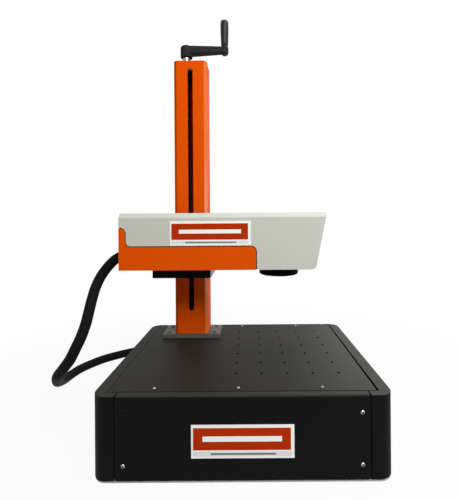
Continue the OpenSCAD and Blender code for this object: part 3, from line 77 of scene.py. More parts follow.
def linear(hexCode):  # sRGB hex to the linear colour that Blender mixes
    values = [int(hexCode[i:i + 2], 16) / 255 for i in (1, 3, 5)]
    return [v / 12.92 if v <= 0.04045 else ((v + 0.055) / 1.055) ** 2.4 for v in values] + [1.0]


def meshPiece(name, bm):
    mesh = bpy.data.meshes.new(name)
    bm.to_mesh(mesh)
    bm.free()
    piece = bpy.data.objects.new(name, mesh)
    scene.collection.objects.link(piece)
    return piece


def shadeByAngle(piece, degrees):
    piece.data.shade_smooth()
    piece.data.set_sharp_from_angle(angle=math.radians(degrees))


def bake(piece):
    graph = bpy.context.evaluated_depsgraph_get()
    mesh = bpy.data.meshes.new_from_object(piece.evaluated_get(graph), depsgraph=graph)
    piece.modifiers.clear()
    piece.data = mesh
    return piece


def addTurned(bm, profile, foot, sides=72):
    # a closed profile of (radius, height above the foot) in mm, turned about an upright axis
    rings = []
    for radius, height in profile:
        spots = range(sides) if radius > 0 else (0,)
        rings.append([bm.verts.new((
            (foot[0] + radius * math.cos(2 * math.pi * k / sides)) * mm,
            (foot[1] + radius * math.sin(2 * math.pi * k / sides)) * mm,
            (foot[2] + height) * mm)) for k in spots])
    for low, high in zip(rings, rings[1:] + rings[:1]):
        for k in range(sides):
            n = (k + 1) % sides
            ends = [low[k % len(low)], low[n % len(low)], high[n % len(high)], high[k % len(high)]]
            corners = list(dict.fromkeys(ends))
            if len(corners) > 2:
                bm.faces.new(corners)


def addSlab(bm, outline, low, high):
    # an upright prism: outline points (x, y) in mm, with a lower and an upper height for each point
    floor = [bm.verts.new((x * mm, y * mm, z * mm)) for (x, y), z in zip(outline, low)]
    roof = [bm.verts.new((x * mm, y * mm, z * mm)) for (x, y), z in zip(outline, high)]
    bm.faces.new(floor[::-1])
    bm.faces.new(roof)
    for k in range(len(outline)):
        n = (k + 1) % len(outline)
        bm.faces.new((floor[k], floor[n], roof[n], roof[k]))


def growTree(name, wants):
    # an empty Geometry Nodes tree with named inputs; returns it with its input and output nodes
    tree = bpy.data.node_groups.new(name, "GeometryNodeTree")
    tree.interface.new_socket("Geometry", in_out="OUTPUT", socket_type="NodeSocketGeometry")
    for want, value in wants.items():
        kind = {bool: "Bool", int: "Int", float: "Float", tuple: "Vector"}.get(type(value), "Material")
        tree.interface.new_socket(want, in_out="INPUT", socket_type="NodeSocket" + kind)
    return tree, addNode(tree, "NodeGroupInput").outputs, addNode(tree, "NodeGroupOutput")


def endTree(tree, geometry, material, goal):
    real = addNode(tree, "GeometryNodeRealizeInstances", {"Geometry": geometry})
    done = addNode(tree, "GeometryNodeSetMaterial", {"Geometry": real.outputs[0], "Material": material})
    tree.links.new(done.outputs[0], goal.inputs[0])


def addHoop(tree, radius, sides, thickness, facets):
    # a ring of round wire, as a mesh socket of the tree
    circle = addNode(tree, "GeometryNodeCurvePrimitiveCircle", {"Resolution": sides, "Radius": radius})
    wire = addNode(tree, "GeometryNodeCurvePrimitiveCircle", {"Resolution": facets, "Radius": thickness})
    hoop = addNode(tree, "GeometryNodeCurveToMesh", {
        "Curve": circle.outputs[0], "Profile Curve": wire.outputs[0]})
    return hoop.outputs[0]


def growPiece(name, tree, values, shadeFrom=40):
    piece = meshPiece(name, bmesh.new())
    grow = piece.modifiers.new("grow", "NODES")
    grow.node_group = tree
    for item in tree.interface.items_tree:
        if item.in_out == "INPUT":
            grow[item.identifier] = values[item.name]
    bake(piece)
    shadeByAngle(piece, shadeFrom)
    return piece


def place(piece, body, slot, *replaced):
    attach(piece, body)
    if replaced:
        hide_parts(*replaced)
    return piece


def footOf(node):  # the middle of a round CAD node in plan and its lowest height, to a tenth of a mm
    low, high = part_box(node)
    return tuple(round(c / mm, 1) for c in ((low.x + high.x) / 2, (low.y + high.y) / 2, low.z))


# the camera stands where the photograph was taken: close in front, a little under half the height

view = dict(
    stand=(12.8 * mm, -791 * mm, 449 * mm),
    sensor=36,           # mm, along the taller side
    lens=24.98,          # mm
    nearest=10 * mm,
    roll=0.4,            # degrees
    shift=(-0.0385, -0.0626),
)


def setCamera(v):
    camera = bpy.data.cameras.new("photographCamera")
    camera.sensor_width = v["sensor"]
    camera.lens = v["lens"]
    camera.shift_x, camera.shift_y = v["shift"]
    camera.clip_start = v["nearest"]
    holder = bpy.data.objects.new("photographCamera", camera)
    holder.location = v["stand"]
    holder.rotation_euler = (math.radians(90), math.radians(v["roll"]), 0)
    scene.collection.objects.link(holder)
    scene.camera = holder


setCamera(view)
print("camera set")


# finishes

def finish(name, colour, roughness, metallic=0.0, **sockets):
    material = bpy.data.materials.new(name)
    material.use_nodes = True
    shader = material.node_tree.nodes["Principled BSDF"]
    shader.inputs["Base Color"].default_value = linear(colour)
    shader.inputs["Roughness"].default_value = roughness
    shader.inputs["Metallic"].default_value = metallic
    for socket, value in sockets.items():
        shader.inputs[socket.replace("_", " ")].default_value = value
    return material


def addGrain(material, sizeMm, depthMm, strength=1.0, detail=2.0):
    tree = material.node_tree
    where = addNode(tree, "ShaderNodeTexCoord")
    grain = addNode(tree, "ShaderNodeTexNoise", {
        "Vector": where.outputs["Object"], "Scale": 1 / (sizeMm * mm), "Detail": detail})
    bump = addNode(tree, "ShaderNodeBump", {
        "Height": grain.outputs["Fac"], "Strength": strength, "Distance": depthMm * mm})
    tree.links.new(bump.outputs["Normal"], tree.nodes["Principled BSDF"].inputs["Normal"])
    return material


def paintTopSheen(material, colour, leastUp=0.35, fullUp=0.95):
    # painted sheen: lightens only the faces that look up, as if they caught a pale grazing reflection
    tree = material.node_tree
    paint = tree.nodes["Principled BSDF"].inputs["Base Color"]
    facing = addNode(tree, "ShaderNodeNewGeometry")
    up = addNode(tree, "ShaderNodeSeparateXYZ", {0: facing.outputs["Normal"]})
    film = addNode(tree, "ShaderNodeMapRange", {
        "Value": up.outputs["Z"], "From Min": leastUp, "From Max": fullUp})
    mix = addNode(tree, "ShaderNodeMix", {
        0: film.outputs[0], 6: tuple(paint.default_value), 7: linear(colour)}, data_type="RGBA")
    tree.links.new(mix.outputs[2], paint)


# black powder coat on sheet steel: fine bumps break up the shine, and a painted sheen greys its upper faces
powderBlack = addGrain(finish("blackPowderCoat", "#0A0C0B", 0.55, Specular_IOR_Level=0.06), 1.2, 0.03)
paintTopSheen(powderBlack, "#2E2D29")
# satin black coat on the table plate: a faint, broad sheen
tableBlack = addGrain(finish("satinBlackTable", "#23221E", 0.5, Specular_IOR_Level=0.06), 0.9, 0.012)
# black anodised aluminium: very dark, almost without shine
anodisedBlack = finish("blackAnodised", "#040404", 0.45, Specular_IOR_Level=0.01)
# orange enamel over steel: deep and even, with a trace of orange peel
orangePaint = addGrain(finish("orangeEnamel", "#DB5002", 0.45, Specular_IOR_Level=0.012), 2.5, 0.01)
# painted highlight: a lighter, glossier copy of the orange enamel for the column's right bevel, so that the
# bevel looks lit
litBevelOrange = finish("litBevelEnamel", "#CE6008", 0.3, Specular_IOR_Level=0.5)
# light grey enamel on the cover: satin, slightly green
coverGrey = addGrain(finish("greyEnamel", "#C2C3B8", 0.42, Specular_IOR_Level=0.2), 2.5, 0.008)
# bright zinc: small screws that catch the light
brightSteel = finish("brightZinc", "#8C8C88", 0.26, 1.0)
# black oxide steel: dull and oily dark
blackOxide = finish("blackOxide", "#121211", 0.45, Specular_IOR_Level=0.2)
# black enamel on the bracket: dark face on, pale where it is seen edge on
blackEnamel = finish("blackEnamel", "#050505", 0.2, Specular_IOR_Level=0.025)
# painted shade inside the column: a dark, dull red on the walls of the hollow
shadedInsideRed = finish("shadedInsideRed", "#701A07", 0.7, Specular_IOR_Level=0.02)
# ground steel plate, lightly oiled: grey, a soft broad reflection
groundSteel = addGrain(finish("groundSteel", "#5C5C57", 0.5, 0.3, Specular_IOR_Level=0.15), 0.8, 0.01)
# machined aluminium: pale and satin
machinedAluminium = finish("machinedAluminium", "#A9ABAC", 0.36, 1.0)
# bearing bronze: warm and satin
bearingBronze = finish("bearingBronze", "#A98445", 0.32, 1.0)
# glass-filled nylon of the crank: charcoal, moulded with a fine mat texture
nylonGrey = addGrain(finish("filledNylon", "#2C2C2C", 0.6, Specular_IOR_Level=0.015), 1.0, 0.03)
# smooth nylon of the grip: darker, with a soft upright highlight
gripNylon = finish("smoothNylon", "#151515", 0.4, Specular_IOR_Level=0.2)
# rubber: black and dull
rubberBlack = finish("footRubber", "#0E0E0E", 0.7, Specular_IOR_Level=0.15)
# vinyl skin of the conduit: black and dull, a little lighter where it faces the lamps
conduitBlack = finish("conduitVinyl", "#181817", 0.5, Specular_IOR_Level=0.02)
# moulded black plastic: satin
plasticBlack = addGrain(finish("mouldedBlack", "#0E0E0E", 0.48, Specular_IOR_Level=0.12), 0.8, 0.015)
# solder mask: glossy dark green
boardGreen = finish("solderMask", "#1A5C3A", 0.3)
# coated optical glass: clear, with a cool reflection
lensGlass = finish("coatedGlass", "#DDE8EE", 0.02, Transmission_Weight=1.0)
# silvered mirror: reflects like polished metal
mirrorSilver = finish("mirrorCoating", "#E6E6EA", 0.03, 1.0)
# printed film of the labels: smooth, slightly glossy
labelWhite = finish("filmWhite", "#F4F3EF", 0.4, Specular_IOR_Level=0.2)
labelRed = finish("filmRed", "#B02E03", 0.4, Specular_IOR_Level=0.04)
labelGrey = finish("filmGrey", "#DEE0E0", 0.4, Specular_IOR_Level=0.2)
labelInk = finish("filmInk", "#6B6A66", 0.4, Specular_IOR_Level=0.2)

slotFinish = {
    "powder_black": powderBlack, "table_black": tableBlack, "anodised_black": anodisedBlack,
    "signal_orange": orangePaint, "cover_grey": coverGrey, "bright_steel": brightSteel,
    "black_steel": blackOxide, "plate_grey": groundSteel, "raw_aluminium": machinedAluminium,
    "bronze": bearingBronze, "crank_grey": nylonGrey, "foot_rubber": rubberBlack,
    "hose_black": conduitBlack, "gland_black": plasticBlack, "black_plastic": plasticBlack,
    "board_green": boardGreen, "label_print": labelRed, "lens_coating": lensGlass,
    "mirror_coating": mirrorSilver,
}
for name, node in cadNodes.items():
    node.data.materials.clear()
    node.data.materials.append(slotFinish[slotOf[name]])
print("finishes on", len(cadNodes), "nodes")


# conduit hose: droops from the head to just above the bench, then runs back to the rear panel

hose = dict(
    diameter=24,
    ribPitch=5.0,
    ribDepth=0.35,
    ringsPerRib=4,
    sides=28,
    shadeFrom=50,        # degrees
    pathEvery=4,         # rings from one point of the path to the next; nothing reads it
    route=[
        (-290, 45, 364), (-314, 44, 349), (-338, 41, 320), (-350, 32, 292), (-354, 19, 265),
        (-355, 5, 240), (-357, -7, 214), (-363, -17, 188), (-373, -22, 164), (-387, -20, 138),
        (-406, -11, 115), (-429, 8, 90), (-455, 52, 60), (-475, 94, 36.5), (-487, 139, 20),
        (-489, 175, 15), (-481, 213, 16), (-463, 248, 17), (-437, 280, 19), (-406, 306, 20),
        (-370, 330, 21), (-328, 346, 23), (-284, 350, 28), (-240, 341, 36), (-204, 317, 45),
        (-178, 285, 52), (-167, 256, 54), (-165, 228, 55),
    ],
    bendFrom=(-0.43, 0.0, 0.085),   # below this the hose was to stay with the cabinet; nothing reads it
    bendTo=(-0.43, 0.0, 0.355),     # above this it was to rise with the head; nothing reads it, and the hose is fixed in place
)


def smoothLine(points, step, splits=16):
    # Catmull-Rom curve through the points, sampled at even steps
    pts = [Vector(p) for p in points]
    pts = [2 * pts[0] - pts[1]] + pts + [2 * pts[-1] - pts[-2]]
    fine = []
    for a, b, c, d in zip(pts, pts[1:], pts[2:], pts[3:]):
        for k in range(splits):
            t = k / splits
            fine.append(0.5 * (2 * b + (c - a) * t + (2 * a - 5 * b + 4 * c - d) * t * t
                               + (3 * b - a - 3 * c + d) * t ** 3))
    fine.append(pts[-2])
    lengths = [0.0]
    for a, b in zip(fine, fine[1:]):
        lengths.append(lengths[-1] + (b - a).length)
    count = max(2, round(lengths[-1] / step))
    line, k = [], 0
    for i in range(count + 1):
        want = lengths[-1] * i / count
        while k < len(fine) - 2 and lengths[k + 1] < want:
            k += 1
        share = (want - lengths[k]) / (lengths[k + 1] - lengths[k])
        line.append(fine[k].lerp(fine[k + 1], share))
    return line, lengths[-1]


def makeHose(h):
    step = h["ribPitch"] / h["ringsPerRib"] * mm
    line, length = smoothLine([[c * mm for c in p] for p in h["route"]], step)
    bm = bmesh.new()
    side = Vector((0, 1, 0))
    rings = []
    for i, point in enumerate(line):
        way = (line[min(i + 1, len(line) - 1)] - line[max(i - 1, 0)]).normalized()
        side = (side - side.dot(way) * way).normalized()
        up = way.cross(side)
        wave = 0.5 - 0.5 * math.cos(2 * math.pi * i / h["ringsPerRib"])
        radius = (h["diameter"] / 2 - h["ribDepth"] * wave) * mm
        rings.append([])
        for k in range(h["sides"]):
            turn = 2 * math.pi * k / h["sides"]
            rings[-1].append(bm.verts.new(point + radius * (math.cos(turn) * side + math.sin(turn) * up)))
    for low, high in zip(rings, rings[1:]):
        for k in range(h["sides"]):
            n = (k + 1) % h["sides"]
            bm.faces.new((low[k], low[n], high[n], high[k]))
    bm.faces.new(rings[0][::-1])
    bm.faces.new(rings[-1])
    bmesh.ops.recalc_face_normals(bm, faces=bm.faces)
    piece = meshPiece("conduitHose", bm)
    shadeByAngle(piece, h["shadeFrom"])
    piece.data.materials.append(conduitBlack)
    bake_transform(piece)
    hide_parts("conduit_hose")
    print("hose", round(length, 3), "m")


makeHose(hose)


# every outer piece is a copy of its CAD solid with its edges broken as on the real one

dressing = dict(
    mergeWithin=0.002,   # mm
    flatWithin=0.2,      # degrees: faces that lie this near to one plane become one
    sharpFrom=40,        # degrees: edges that turn more than this are broken
    shadeFrom=35,        # degrees
    steps=3,
)
edgeBreaks = {  # mm
    "left_side_cover": 1.0, "right_side_cover": 1.0, "front_panel": 0.5, "rear_panel": 0.5,
    "top_plate": 0.6, "base_tray": 0.4, "rubber_feet": 0.8, "column_foot_plate": 0.8,
    "column_tube": 1.0, "head_bracket": 0.8, "head_chassis": 0.9, "head_cover": 0.9,
    "fan_frame": 0.4, "fan_guard": 0.3, "power_inlet": 0.5, "power_rocker": 0.4, "data_socket": 0.3,
    "base_hose_gland": 0.6, "head_hose_gland": 0.6,
    "top_plate_screws": 0.3, "front_panel_screws": 0.3, "rear_panel_screws": 0.3, "column_screws": 0.3,
    "head_cover_screws": 0.25, "foot_plate_bolts": 0.3, "shelf_bolts": 0.3, "crank_set_screw": 0.2,
    "grip_spindle": 0.3, "top_bearing_block": 0.4, "top_bearing": 0.3, "side_cover_screws": 0.2,
}
secondFinish = [
    # node, finish, box in mm, axis of the faces left as they are: 1 is front to back, 2 is up
    # painted shade: the inner walls of the column get the dark red
    ("column_tube", shadedInsideRed, (-173.1, 99.9, 150), (-96.9, 157.1, 860), 2),
    # painted highlight: the column's right bevel gets the lighter, glossier orange
    ("column_tube", litBevelOrange, (-99.9, 96.1, 150), (-93.1, 102.9, 860), 2),
    # painted shade: the cover's cut edges along the joint line are made black, so that the joint looks dark
    ("head_cover", rubberBlack, (-264.5, -52.9, 342), (30.2, 76.9, 432.5), 1),
    # dark floors of the hexagon sockets: painted shade and dirt in the recesses
    ("front_panel_screws", blackOxide, (-260, -200.95, 0), (260, -200.8, 150), None),
    ("rear_panel_screws", blackOxide, (-260, 200.8, 0), (260, 200.95, 150), None),
    ("top_plate_screws", blackOxide, (-260, -200, 147.8), (260, 200, 147.95), None),
    ("column_screws", blackOxide, (-180, 161.8, 150), (-90, 161.95, 860), None),
]
softLines = {  # mm: long edges that are rounded more than the rest, as (y, z)
    "head_cover": dict(width=4.0, lines=[(-53, 452.5), (-43.5, 462), (67.5, 462), (77, 452.5)]),
}
sideSlip = {  # mm: what lies further out than this is drawn along x by so much
    "top_plate": dict(beyond=236, by=-1.5),
}
ownFinish = {"head_bracket": blackEnamel, "side_cover_screws": blackOxide, "grip_spindle": blackOxide}


def liesOn(line, spots, near=0.1):  # mm; whether an edge runs along one of the (y, z) lines
    return any(all(math.dist(spot, vert.co.yz / mm) < near for vert in line.verts) for spot in spots)


def dress(node, edge, d):
    bm = bmesh.new()
    bm.from_mesh(cadNodes[node].data)
    bmesh.ops.remove_doubles(bm, verts=bm.verts, dist=d["mergeWithin"] * mm)
    bmesh.ops.dissolve_limit(bm, angle_limit=math.radians(d["flatWithin"]), verts=bm.verts, edges=bm.edges)
    if node in sideSlip:
        for vert in bm.verts:
            if abs(vert.co.x) > sideSlip[node]["beyond"] * mm:
                vert.co.x += sideSlip[node]["by"] * mm
    soft = softLines.get(node, dict(width=edge, lines=[]))
    share = bm.edges.layers.float.new("bevel_weight_edge")
    for line in bm.edges:
        if liesOn(line, soft["lines"]):
            line[share] = 1.0
        elif line.calc_face_angle(0.0) > math.radians(d["sharpFrom"]):
            line[share] = edge / soft["width"]
    piece = meshPiece(node + "Dressed", bm)
    shadeByAngle(piece, d["shadeFrom"])
    bevel = piece.modifiers.new("brokenEdges", "BEVEL")
    bevel.width = soft["width"] * mm
    bevel.segments = d["steps"]
    bevel.limit_method = "WEIGHT"
    bevel.harden_normals = True
    piece.data.materials.append(ownFinish.get(node, slotFinish[slotOf[node]]))
    return place(piece, bodyOf[node], slotOf[node], node)


def paintWithin(piece, film, low, high, across):
    # a second finish on the faces whose middle lies in a box, less those that look along the given axis
    if film.name not in piece.data.materials:
        piece.data.materials.append(film)
    spot = piece.data.materials.find(film.name)
    for face in piece.data.polygons:
        within = all(a * mm < c < b * mm for a, c, b in zip(low, face.center, high))
        if within and (across is None or abs(face.normal[across]) < 0.5):
            face.material_index = spot


dressed = {name: dress(name, edge, dressing) for name, edge in edgeBreaks.items()}
for name, *zone in secondFinish:
    paintWithin(dressed[name], *zone)
print("dressed", len(edgeBreaks), "pieces")


# lens barrel: turned rings under the head, a chamfered mouth and the threaded neck in the bench

lensBarrel = dict(
    foot=footOf("lens_barrel"),
    profile=[
        (31, -0.9), (40.5, -0.9), (43.6, 0.7), (44.6, 3.7), (44.6, 8.1), (43.8, 8.5), (43.8, 9.5),
        (45.5, 9.9), (45.5, 12.7), (44.8, 13.0), (44.8, 13.6), (45.5, 13.9), (45.5, 20.5), (42.5, 20.5),
        (42.5, 28.5), (35, 28.5), (35, 4.0), (31, 4.0)],
    sides=128,
    shadeFrom=30,        # degrees
    ridgeCount=160,
    ridgeSides=6,
    ridgeRing=45.4,
    ridgeRadius=0.45,
    ridgeFrom=14.7,
    ridgeHeight=2.2,
)


def makeLens(d):
    bm = bmesh.new()
    addTurned(bm, d["profile"], d["foot"], d["sides"])
    bmesh.ops.recalc_face_normals(bm, faces=bm.faces)
    barrel = meshPiece("lensBarrel", bm)
    shadeByAngle(barrel, d["shadeFrom"])
    barrel.data.materials.append(anodisedBlack)
    place(barrel, "lift", "anodised_black", "lens_barrel")

    x, y, z = d["foot"]
    middle = (x, y, z + d["ridgeFrom"] + d["ridgeHeight"] / 2)
    values = dict(
        Count=d["ridgeCount"], Radius=d["ridgeRing"] * mm, Thickness=d["ridgeRadius"] * mm,
        Height=d["ridgeHeight"] * mm, Spot=tuple(c * mm for c in middle), Finish=anodisedBlack)
    tree, given, goal = growTree("lensKnurl", values)
    circle = addNode(tree, "GeometryNodeMeshCircle", {
        "Vertices": given["Count"], "Radius": given["Radius"]})
    ridge = addNode(tree, "GeometryNodeMeshCylinder", {
        "Vertices": d["ridgeSides"], "Radius": given["Thickness"], "Depth": given["Height"]})
    ring = addNode(tree, "GeometryNodeInstanceOnPoints", {
        "Points": circle.outputs[0], "Instance": ridge.outputs[0]})
    moved = addNode(tree, "GeometryNodeTransform", {
        "Geometry": ring.outputs[0], "Translation": given["Spot"]})
    endTree(tree, moved.outputs[0], given["Finish"], goal)
    place(growPiece("lensKnurl", tree, values), "lift", "anodised_black")
    print("lens turned")


makeLens(lensBarrel)


# crank: one nylon moulding, so hub, arm and boss run into each other with soft fillets

screwFoot = footOf("lead_screw")
gripFoot = footOf("crank_grip")
crank = dict(
    foot=(*screwFoot[:2], footOf("crank_arm")[2]),
    reach=gripFoot[0] - screwFoot[0],
    hub=[(0, 5), (11.6, 5), (12, 0.4), (12.6, 0), (14.9, 0), (15.5, 0.8), (15.5, 25),
         (14.4, 28.4), (11.6, 30.4), (8, 31), (0, 31)],
    # the arm's half width and its lower and upper heights, at the hub and at the boss
    armHalfWidth=(13.5, 9),
    armLow=(8, 13),
    armHigh=(28, 27),
    boss=[(0, 10), (8.6, 10), (10.25, 11.6), (10.25, 27.4), (9.6, 28), (0, 28)],
    grain=0.7,
    softening=9,
    softFactor=0.5,
)


def makeCrank(d):
    x, y, z = d["foot"]
    far = x + d["reach"]
    hubWide, bossWide = d["armHalfWidth"]
    arm = [(x, y - hubWide), (far, y - bossWide), (far, y + bossWide), (x, y + hubWide)]
    low, high = ([z + height for height in ends + ends[::-1]] for ends in (d["armLow"], d["armHigh"]))
    bm = bmesh.new()
    addTurned(bm, d["hub"], d["foot"])
    addSlab(bm, arm, low, high)
    addTurned(bm, d["boss"], (far, y, z))
    bmesh.ops.recalc_face_normals(bm, faces=bm.faces)
    piece = meshPiece("crankArm", bm)
    fuse = piece.modifiers.new("fuse", "REMESH")
    fuse.mode = "VOXEL"
    fuse.voxel_size = d["grain"] * mm
    fuse.use_smooth_shade = True
    soften = piece.modifiers.new("soften", "SMOOTH")
    soften.factor = d["softFactor"]
    soften.iterations = d["softening"]
    bake(piece)
    piece.data.materials.clear()
    piece.data.materials.append(nylonGrey)
    place(piece, "crank", "crank_grey", "crank_arm")
    print("crank moulded,", len(piece.data.polygons), "faces")


makeCrank(crank)


# turning grip: a slim neck, a swelling body and a round crown

grip = dict(
    foot=gripFoot,
    sides=64,
    shadeFrom=45,        # degrees
    profile=[(0, 0.1), (7.6, 0.1), (7.6, 2.3), (8.6, 2.8), (9.25, 3.7), (9.6, 11.7), (10.2, 24.7),
             (10.6, 36.7), (10.75, 48.7), (10.75, 61.7), (10.3, 66.2), (8.8, 69.3), (6, 70.7), (0, 71)],
)


def makeGrip(d):
    bm = bmesh.new()
    addTurned(bm, d["profile"], d["foot"], d["sides"])
    bmesh.ops.recalc_face_normals(bm, faces=bm.faces)
    piece = meshPiece("crankGrip", bm)
    shadeByAngle(piece, d["shadeFrom"])
    piece.data.materials.append(gripNylon)
    place(piece, "grip", "crank_grey", "crank_grip")
    print("grip turned")


makeGrip(grip)


# lead screw: plain journals and a right-hand thread with two starts, seen through the column's slot

leadScrew = dict(
    foot=screwFoot,
    sides=48,
    shadeFrom=35,        # degrees
    core=[(0, 0), (6, 0), (6, 12.3), (6.9, 12.4), (6.9, 667), (6, 667.1), (6, 689.5), (9.6, 689.5),
          (10, 690), (10, 709), (9.6, 709.5), (6, 709.5), (6, 736), (0, 736)],
    threadFrom=15.0,
    threadTo=665.0,
    lead=8.0,
    stepsPerTurn=20,
    ridge=1.15,
    ridgeSides=4,
    ridgeRing=6.85,
)


def makeLeadScrew(d):
    bm = bmesh.new()
    addTurned(bm, d["core"], d["foot"], d["sides"])
    bmesh.ops.recalc_face_normals(bm, faces=bm.faces)
    core = meshPiece("leadScrewCore", bm)
    shadeByAngle(core, d["shadeFrom"])
    core.data.materials.append(brightSteel)
    place(core, "crank", "bright_steel", "lead_screw")

    x, y, z = d["foot"]
    length = d["threadTo"] - d["threadFrom"]
    values = dict(
        Turns=length / d["lead"], Radius=d["ridgeRing"] * mm, Height=length * mm, Ridge=d["ridge"] * mm,
        Spot=(x * mm, y * mm, (z + d["threadFrom"]) * mm), Finish=brightSteel)
    tree, given, goal = growTree("screwThread", values)
    helix = addNode(tree, "GeometryNodeCurveSpiral", {
        "Resolution": d["stepsPerTurn"], "Rotations": given["Turns"], "Start Radius": given["Radius"],
        "End Radius": given["Radius"], "Height": given["Height"], "Reverse": True})
    section = addNode(tree, "GeometryNodeCurvePrimitiveCircle", {
        "Resolution": d["ridgeSides"], "Radius": given["Ridge"]})
    ridge = addNode(tree, "GeometryNodeCurveToMesh", {
        "Curve": helix.outputs[0], "Profile Curve": section.outputs[0], "Fill Caps": True})
    turned = addNode(tree, "GeometryNodeTransform", {
        "Geometry": ridge.outputs[0], "Rotation": (0, 0, math.pi)})
    both = addNode(tree, "GeometryNodeJoinGeometry")
    tree.links.new(ridge.outputs[0], both.inputs[0])
    tree.links.new(turned.outputs[0], both.inputs[0])
    moved = addNode(tree, "GeometryNodeTransform", {
        "Geometry": both.outputs[0], "Translation": given["Spot"]})
    endTree(tree, moved.outputs[0], given["Finish"], goal)
    thread = growPiece("leadScrewThread", tree, values)
    place(thread, "crank", "bright_steel")
    print("thread cut,", len(thread.data.polygons), "faces")


makeLeadScrew(leadScrew)


# fixture holes: a narrow dark rim round each mouth

fixture = {mount["name"]: mount for mount in frame["record"]["mounts"]}["fixture_outer"]
holeRims = dict(
    columns=5,
    rows=6,
    width=fixture["dims"]["spacing_x_mm"],
    depth=fixture["dims"]["spacing_y_mm"],
    middle=fixture["pos_m"],
    above=0.02,
    radius=fixture["dims"]["hole_r_mm"] + 0.25,
    sides=32,
    thickness=0.22,
    facets=6,
)


def makeHoleRims(d):
    x, y, z = d["middle"]
    values = dict(
        Columns=d["columns"], Rows=d["rows"], Width=d["width"] * mm, Depth=d["depth"] * mm,
        Radius=d["radius"] * mm, Thickness=d["thickness"] * mm, Spot=(x, y, z + d["above"] * mm),
        Finish=anodisedBlack)
    tree, given, goal = growTree("fixtureRims", values)
    field = addNode(tree, "GeometryNodeMeshGrid", {
        "Size X": given["Width"], "Size Y": given["Depth"],
        "Vertices X": given["Columns"], "Vertices Y": given["Rows"]})
    rim = addHoop(tree, given["Radius"], d["sides"], given["Thickness"], d["facets"])
    rims = addNode(tree, "GeometryNodeInstanceOnPoints", {"Points": field.outputs[0], "Instance": rim})
    moved = addNode(tree, "GeometryNodeTransform", {
        "Geometry": rims.outputs[0], "Translation": given["Spot"]})
    endTree(tree, moved.outputs[0], given["Finish"], goal)
    place(growPiece("fixtureRims", tree, values), "base", "table_black")
    print("fixture rims laid")


makeHoleRims(holeRims)


# hose glands: soft ribs round the tapered boots

glandRibs = dict(
    count=5,
    sides=48,
    thickness=1.1,
    facets=10,
    # where the boot is rooted, the way it points, the first and last rib along it, and their radii
    head=dict(
        body="lift", root=(-265, 45, 378), way=(-25, 0, -14), first=8.0, last=26.0, wide=15.6, narrow=13.6),
    rear=dict(
        body="base", root=(-165, 200, 55), way=(0, 1, 0), first=7.0, last=26.0, wide=16.4, narrow=13.7),
)


def makeGlandRibs(d):
    for end in ("head", "rear"):
        e = d[end]
        turn = Vector(e["way"]).to_track_quat("Z", "Y").to_euler()
        values = dict(
            Count=d["count"], First=e["first"] * mm, Step=(e["last"] - e["first"]) / (d["count"] - 1) * mm,
            Wide=e["wide"] * mm, Narrow=e["narrow"] / e["wide"], Thickness=d["thickness"] * mm,
            Turn=tuple(turn), Spot=tuple(c * mm for c in e["root"]), Finish=plasticBlack)
        tree, given, goal = growTree(end + "GlandRibs", values)
        start = addNode(tree, "ShaderNodeCombineXYZ", {"Z": given["First"]})
        step = addNode(tree, "ShaderNodeCombineXYZ", {"Z": given["Step"]})
        line = addNode(tree, "GeometryNodeMeshLine", {
            "Count": given["Count"], "Start Location": start.outputs[0], "Offset": step.outputs[0]})
        index = addNode(tree, "GeometryNodeInputIndex")
        share = addNode(tree, "ShaderNodeMapRange", {
            "Value": index.outputs[0], "From Max": d["count"] - 1.0,
            "To Min": 1.0, "To Max": given["Narrow"]})
        rib = addHoop(tree, given["Wide"], d["sides"], given["Thickness"], d["facets"])
        ribs = addNode(tree, "GeometryNodeInstanceOnPoints", {
            "Points": line.outputs[0], "Instance": rib, "Scale": share.outputs[0]})
        moved = addNode(tree, "GeometryNodeTransform", {
            "Geometry": ribs.outputs[0], "Translation": given["Spot"], "Rotation": given["Turn"]})
        endTree(tree, moved.outputs[0], given["Finish"], goal)
        place(growPiece(end + "GlandRibs", tree, values), e["body"], "gland_black")
    print("gland ribs set")


makeGlandRibs(glandRibs)


# dark strips behind the head's joint line, inside both walls of the cover: painted shade that keeps the
# joint dark

jointShadeStrips = dict(
    walls=((-49.8, -48.8), (72.8, 73.8)),
    width=7.0,
    start=(-264.5, 430.85),
    # centre, radius, first and last angle of each bend from left to right
    bends=[(-262.5, 418.5, 12.35, 90, 0), (-239.5, 401.5, 10.65, 180, 270), (16.5, 378.5, 12.35, 90, 0)],
    stop=(28.85, 341.0),
    bendSteps=8,
)


def makeJointShadeStrips(d):
    path = [Vector(d["start"])]
    for x, z, radius, first, last in d["bends"]:
        for k in range(d["bendSteps"] + 1):
            turn = math.radians(first + (last - first) * k / d["bendSteps"])
            path.append(Vector((x + radius * math.cos(turn), z + radius * math.sin(turn))))
    path.append(Vector(d["stop"]))
    bm = bmesh.new()
    for near, far in d["walls"]:
        rows = []
        for k, point in enumerate(path):
            way = (path[min(k + 1, len(path) - 1)] - path[max(k - 1, 0)]).normalized()
            out = Vector((-way.y, way.x)) * d["width"] / 2
            corners = ((near, point - out), (near, point + out), (far, point + out), (far, point - out))
            rows.append([bm.verts.new((spot.x * mm, y * mm, spot.y * mm)) for y, spot in corners])
        for a, b in zip(rows, rows[1:]):
            for k in range(4):
                n = (k + 1) % 4
                bm.faces.new((a[k], a[n], b[n], b[k]))
        bm.faces.new(rows[0])
        bm.faces.new(rows[-1])
    bmesh.ops.recalc_face_normals(bm, faces=bm.faces)
    jointShade = meshPiece("jointShadeStrips", bm)
    jointShade.data.materials.append(rubberBlack)
    place(jointShade, "lift", "foot_rubber")
    print("cover lip fitted")


makeJointShadeStrips(jointShadeStrips)


# dark strips behind the two upright seams in the cabinet's front: painted shade that keeps the seams dark

seamShadeStrips = dict(x=(217.2, 224.0), y=(-196.4, -192.0), z=(4.6, 140.0))


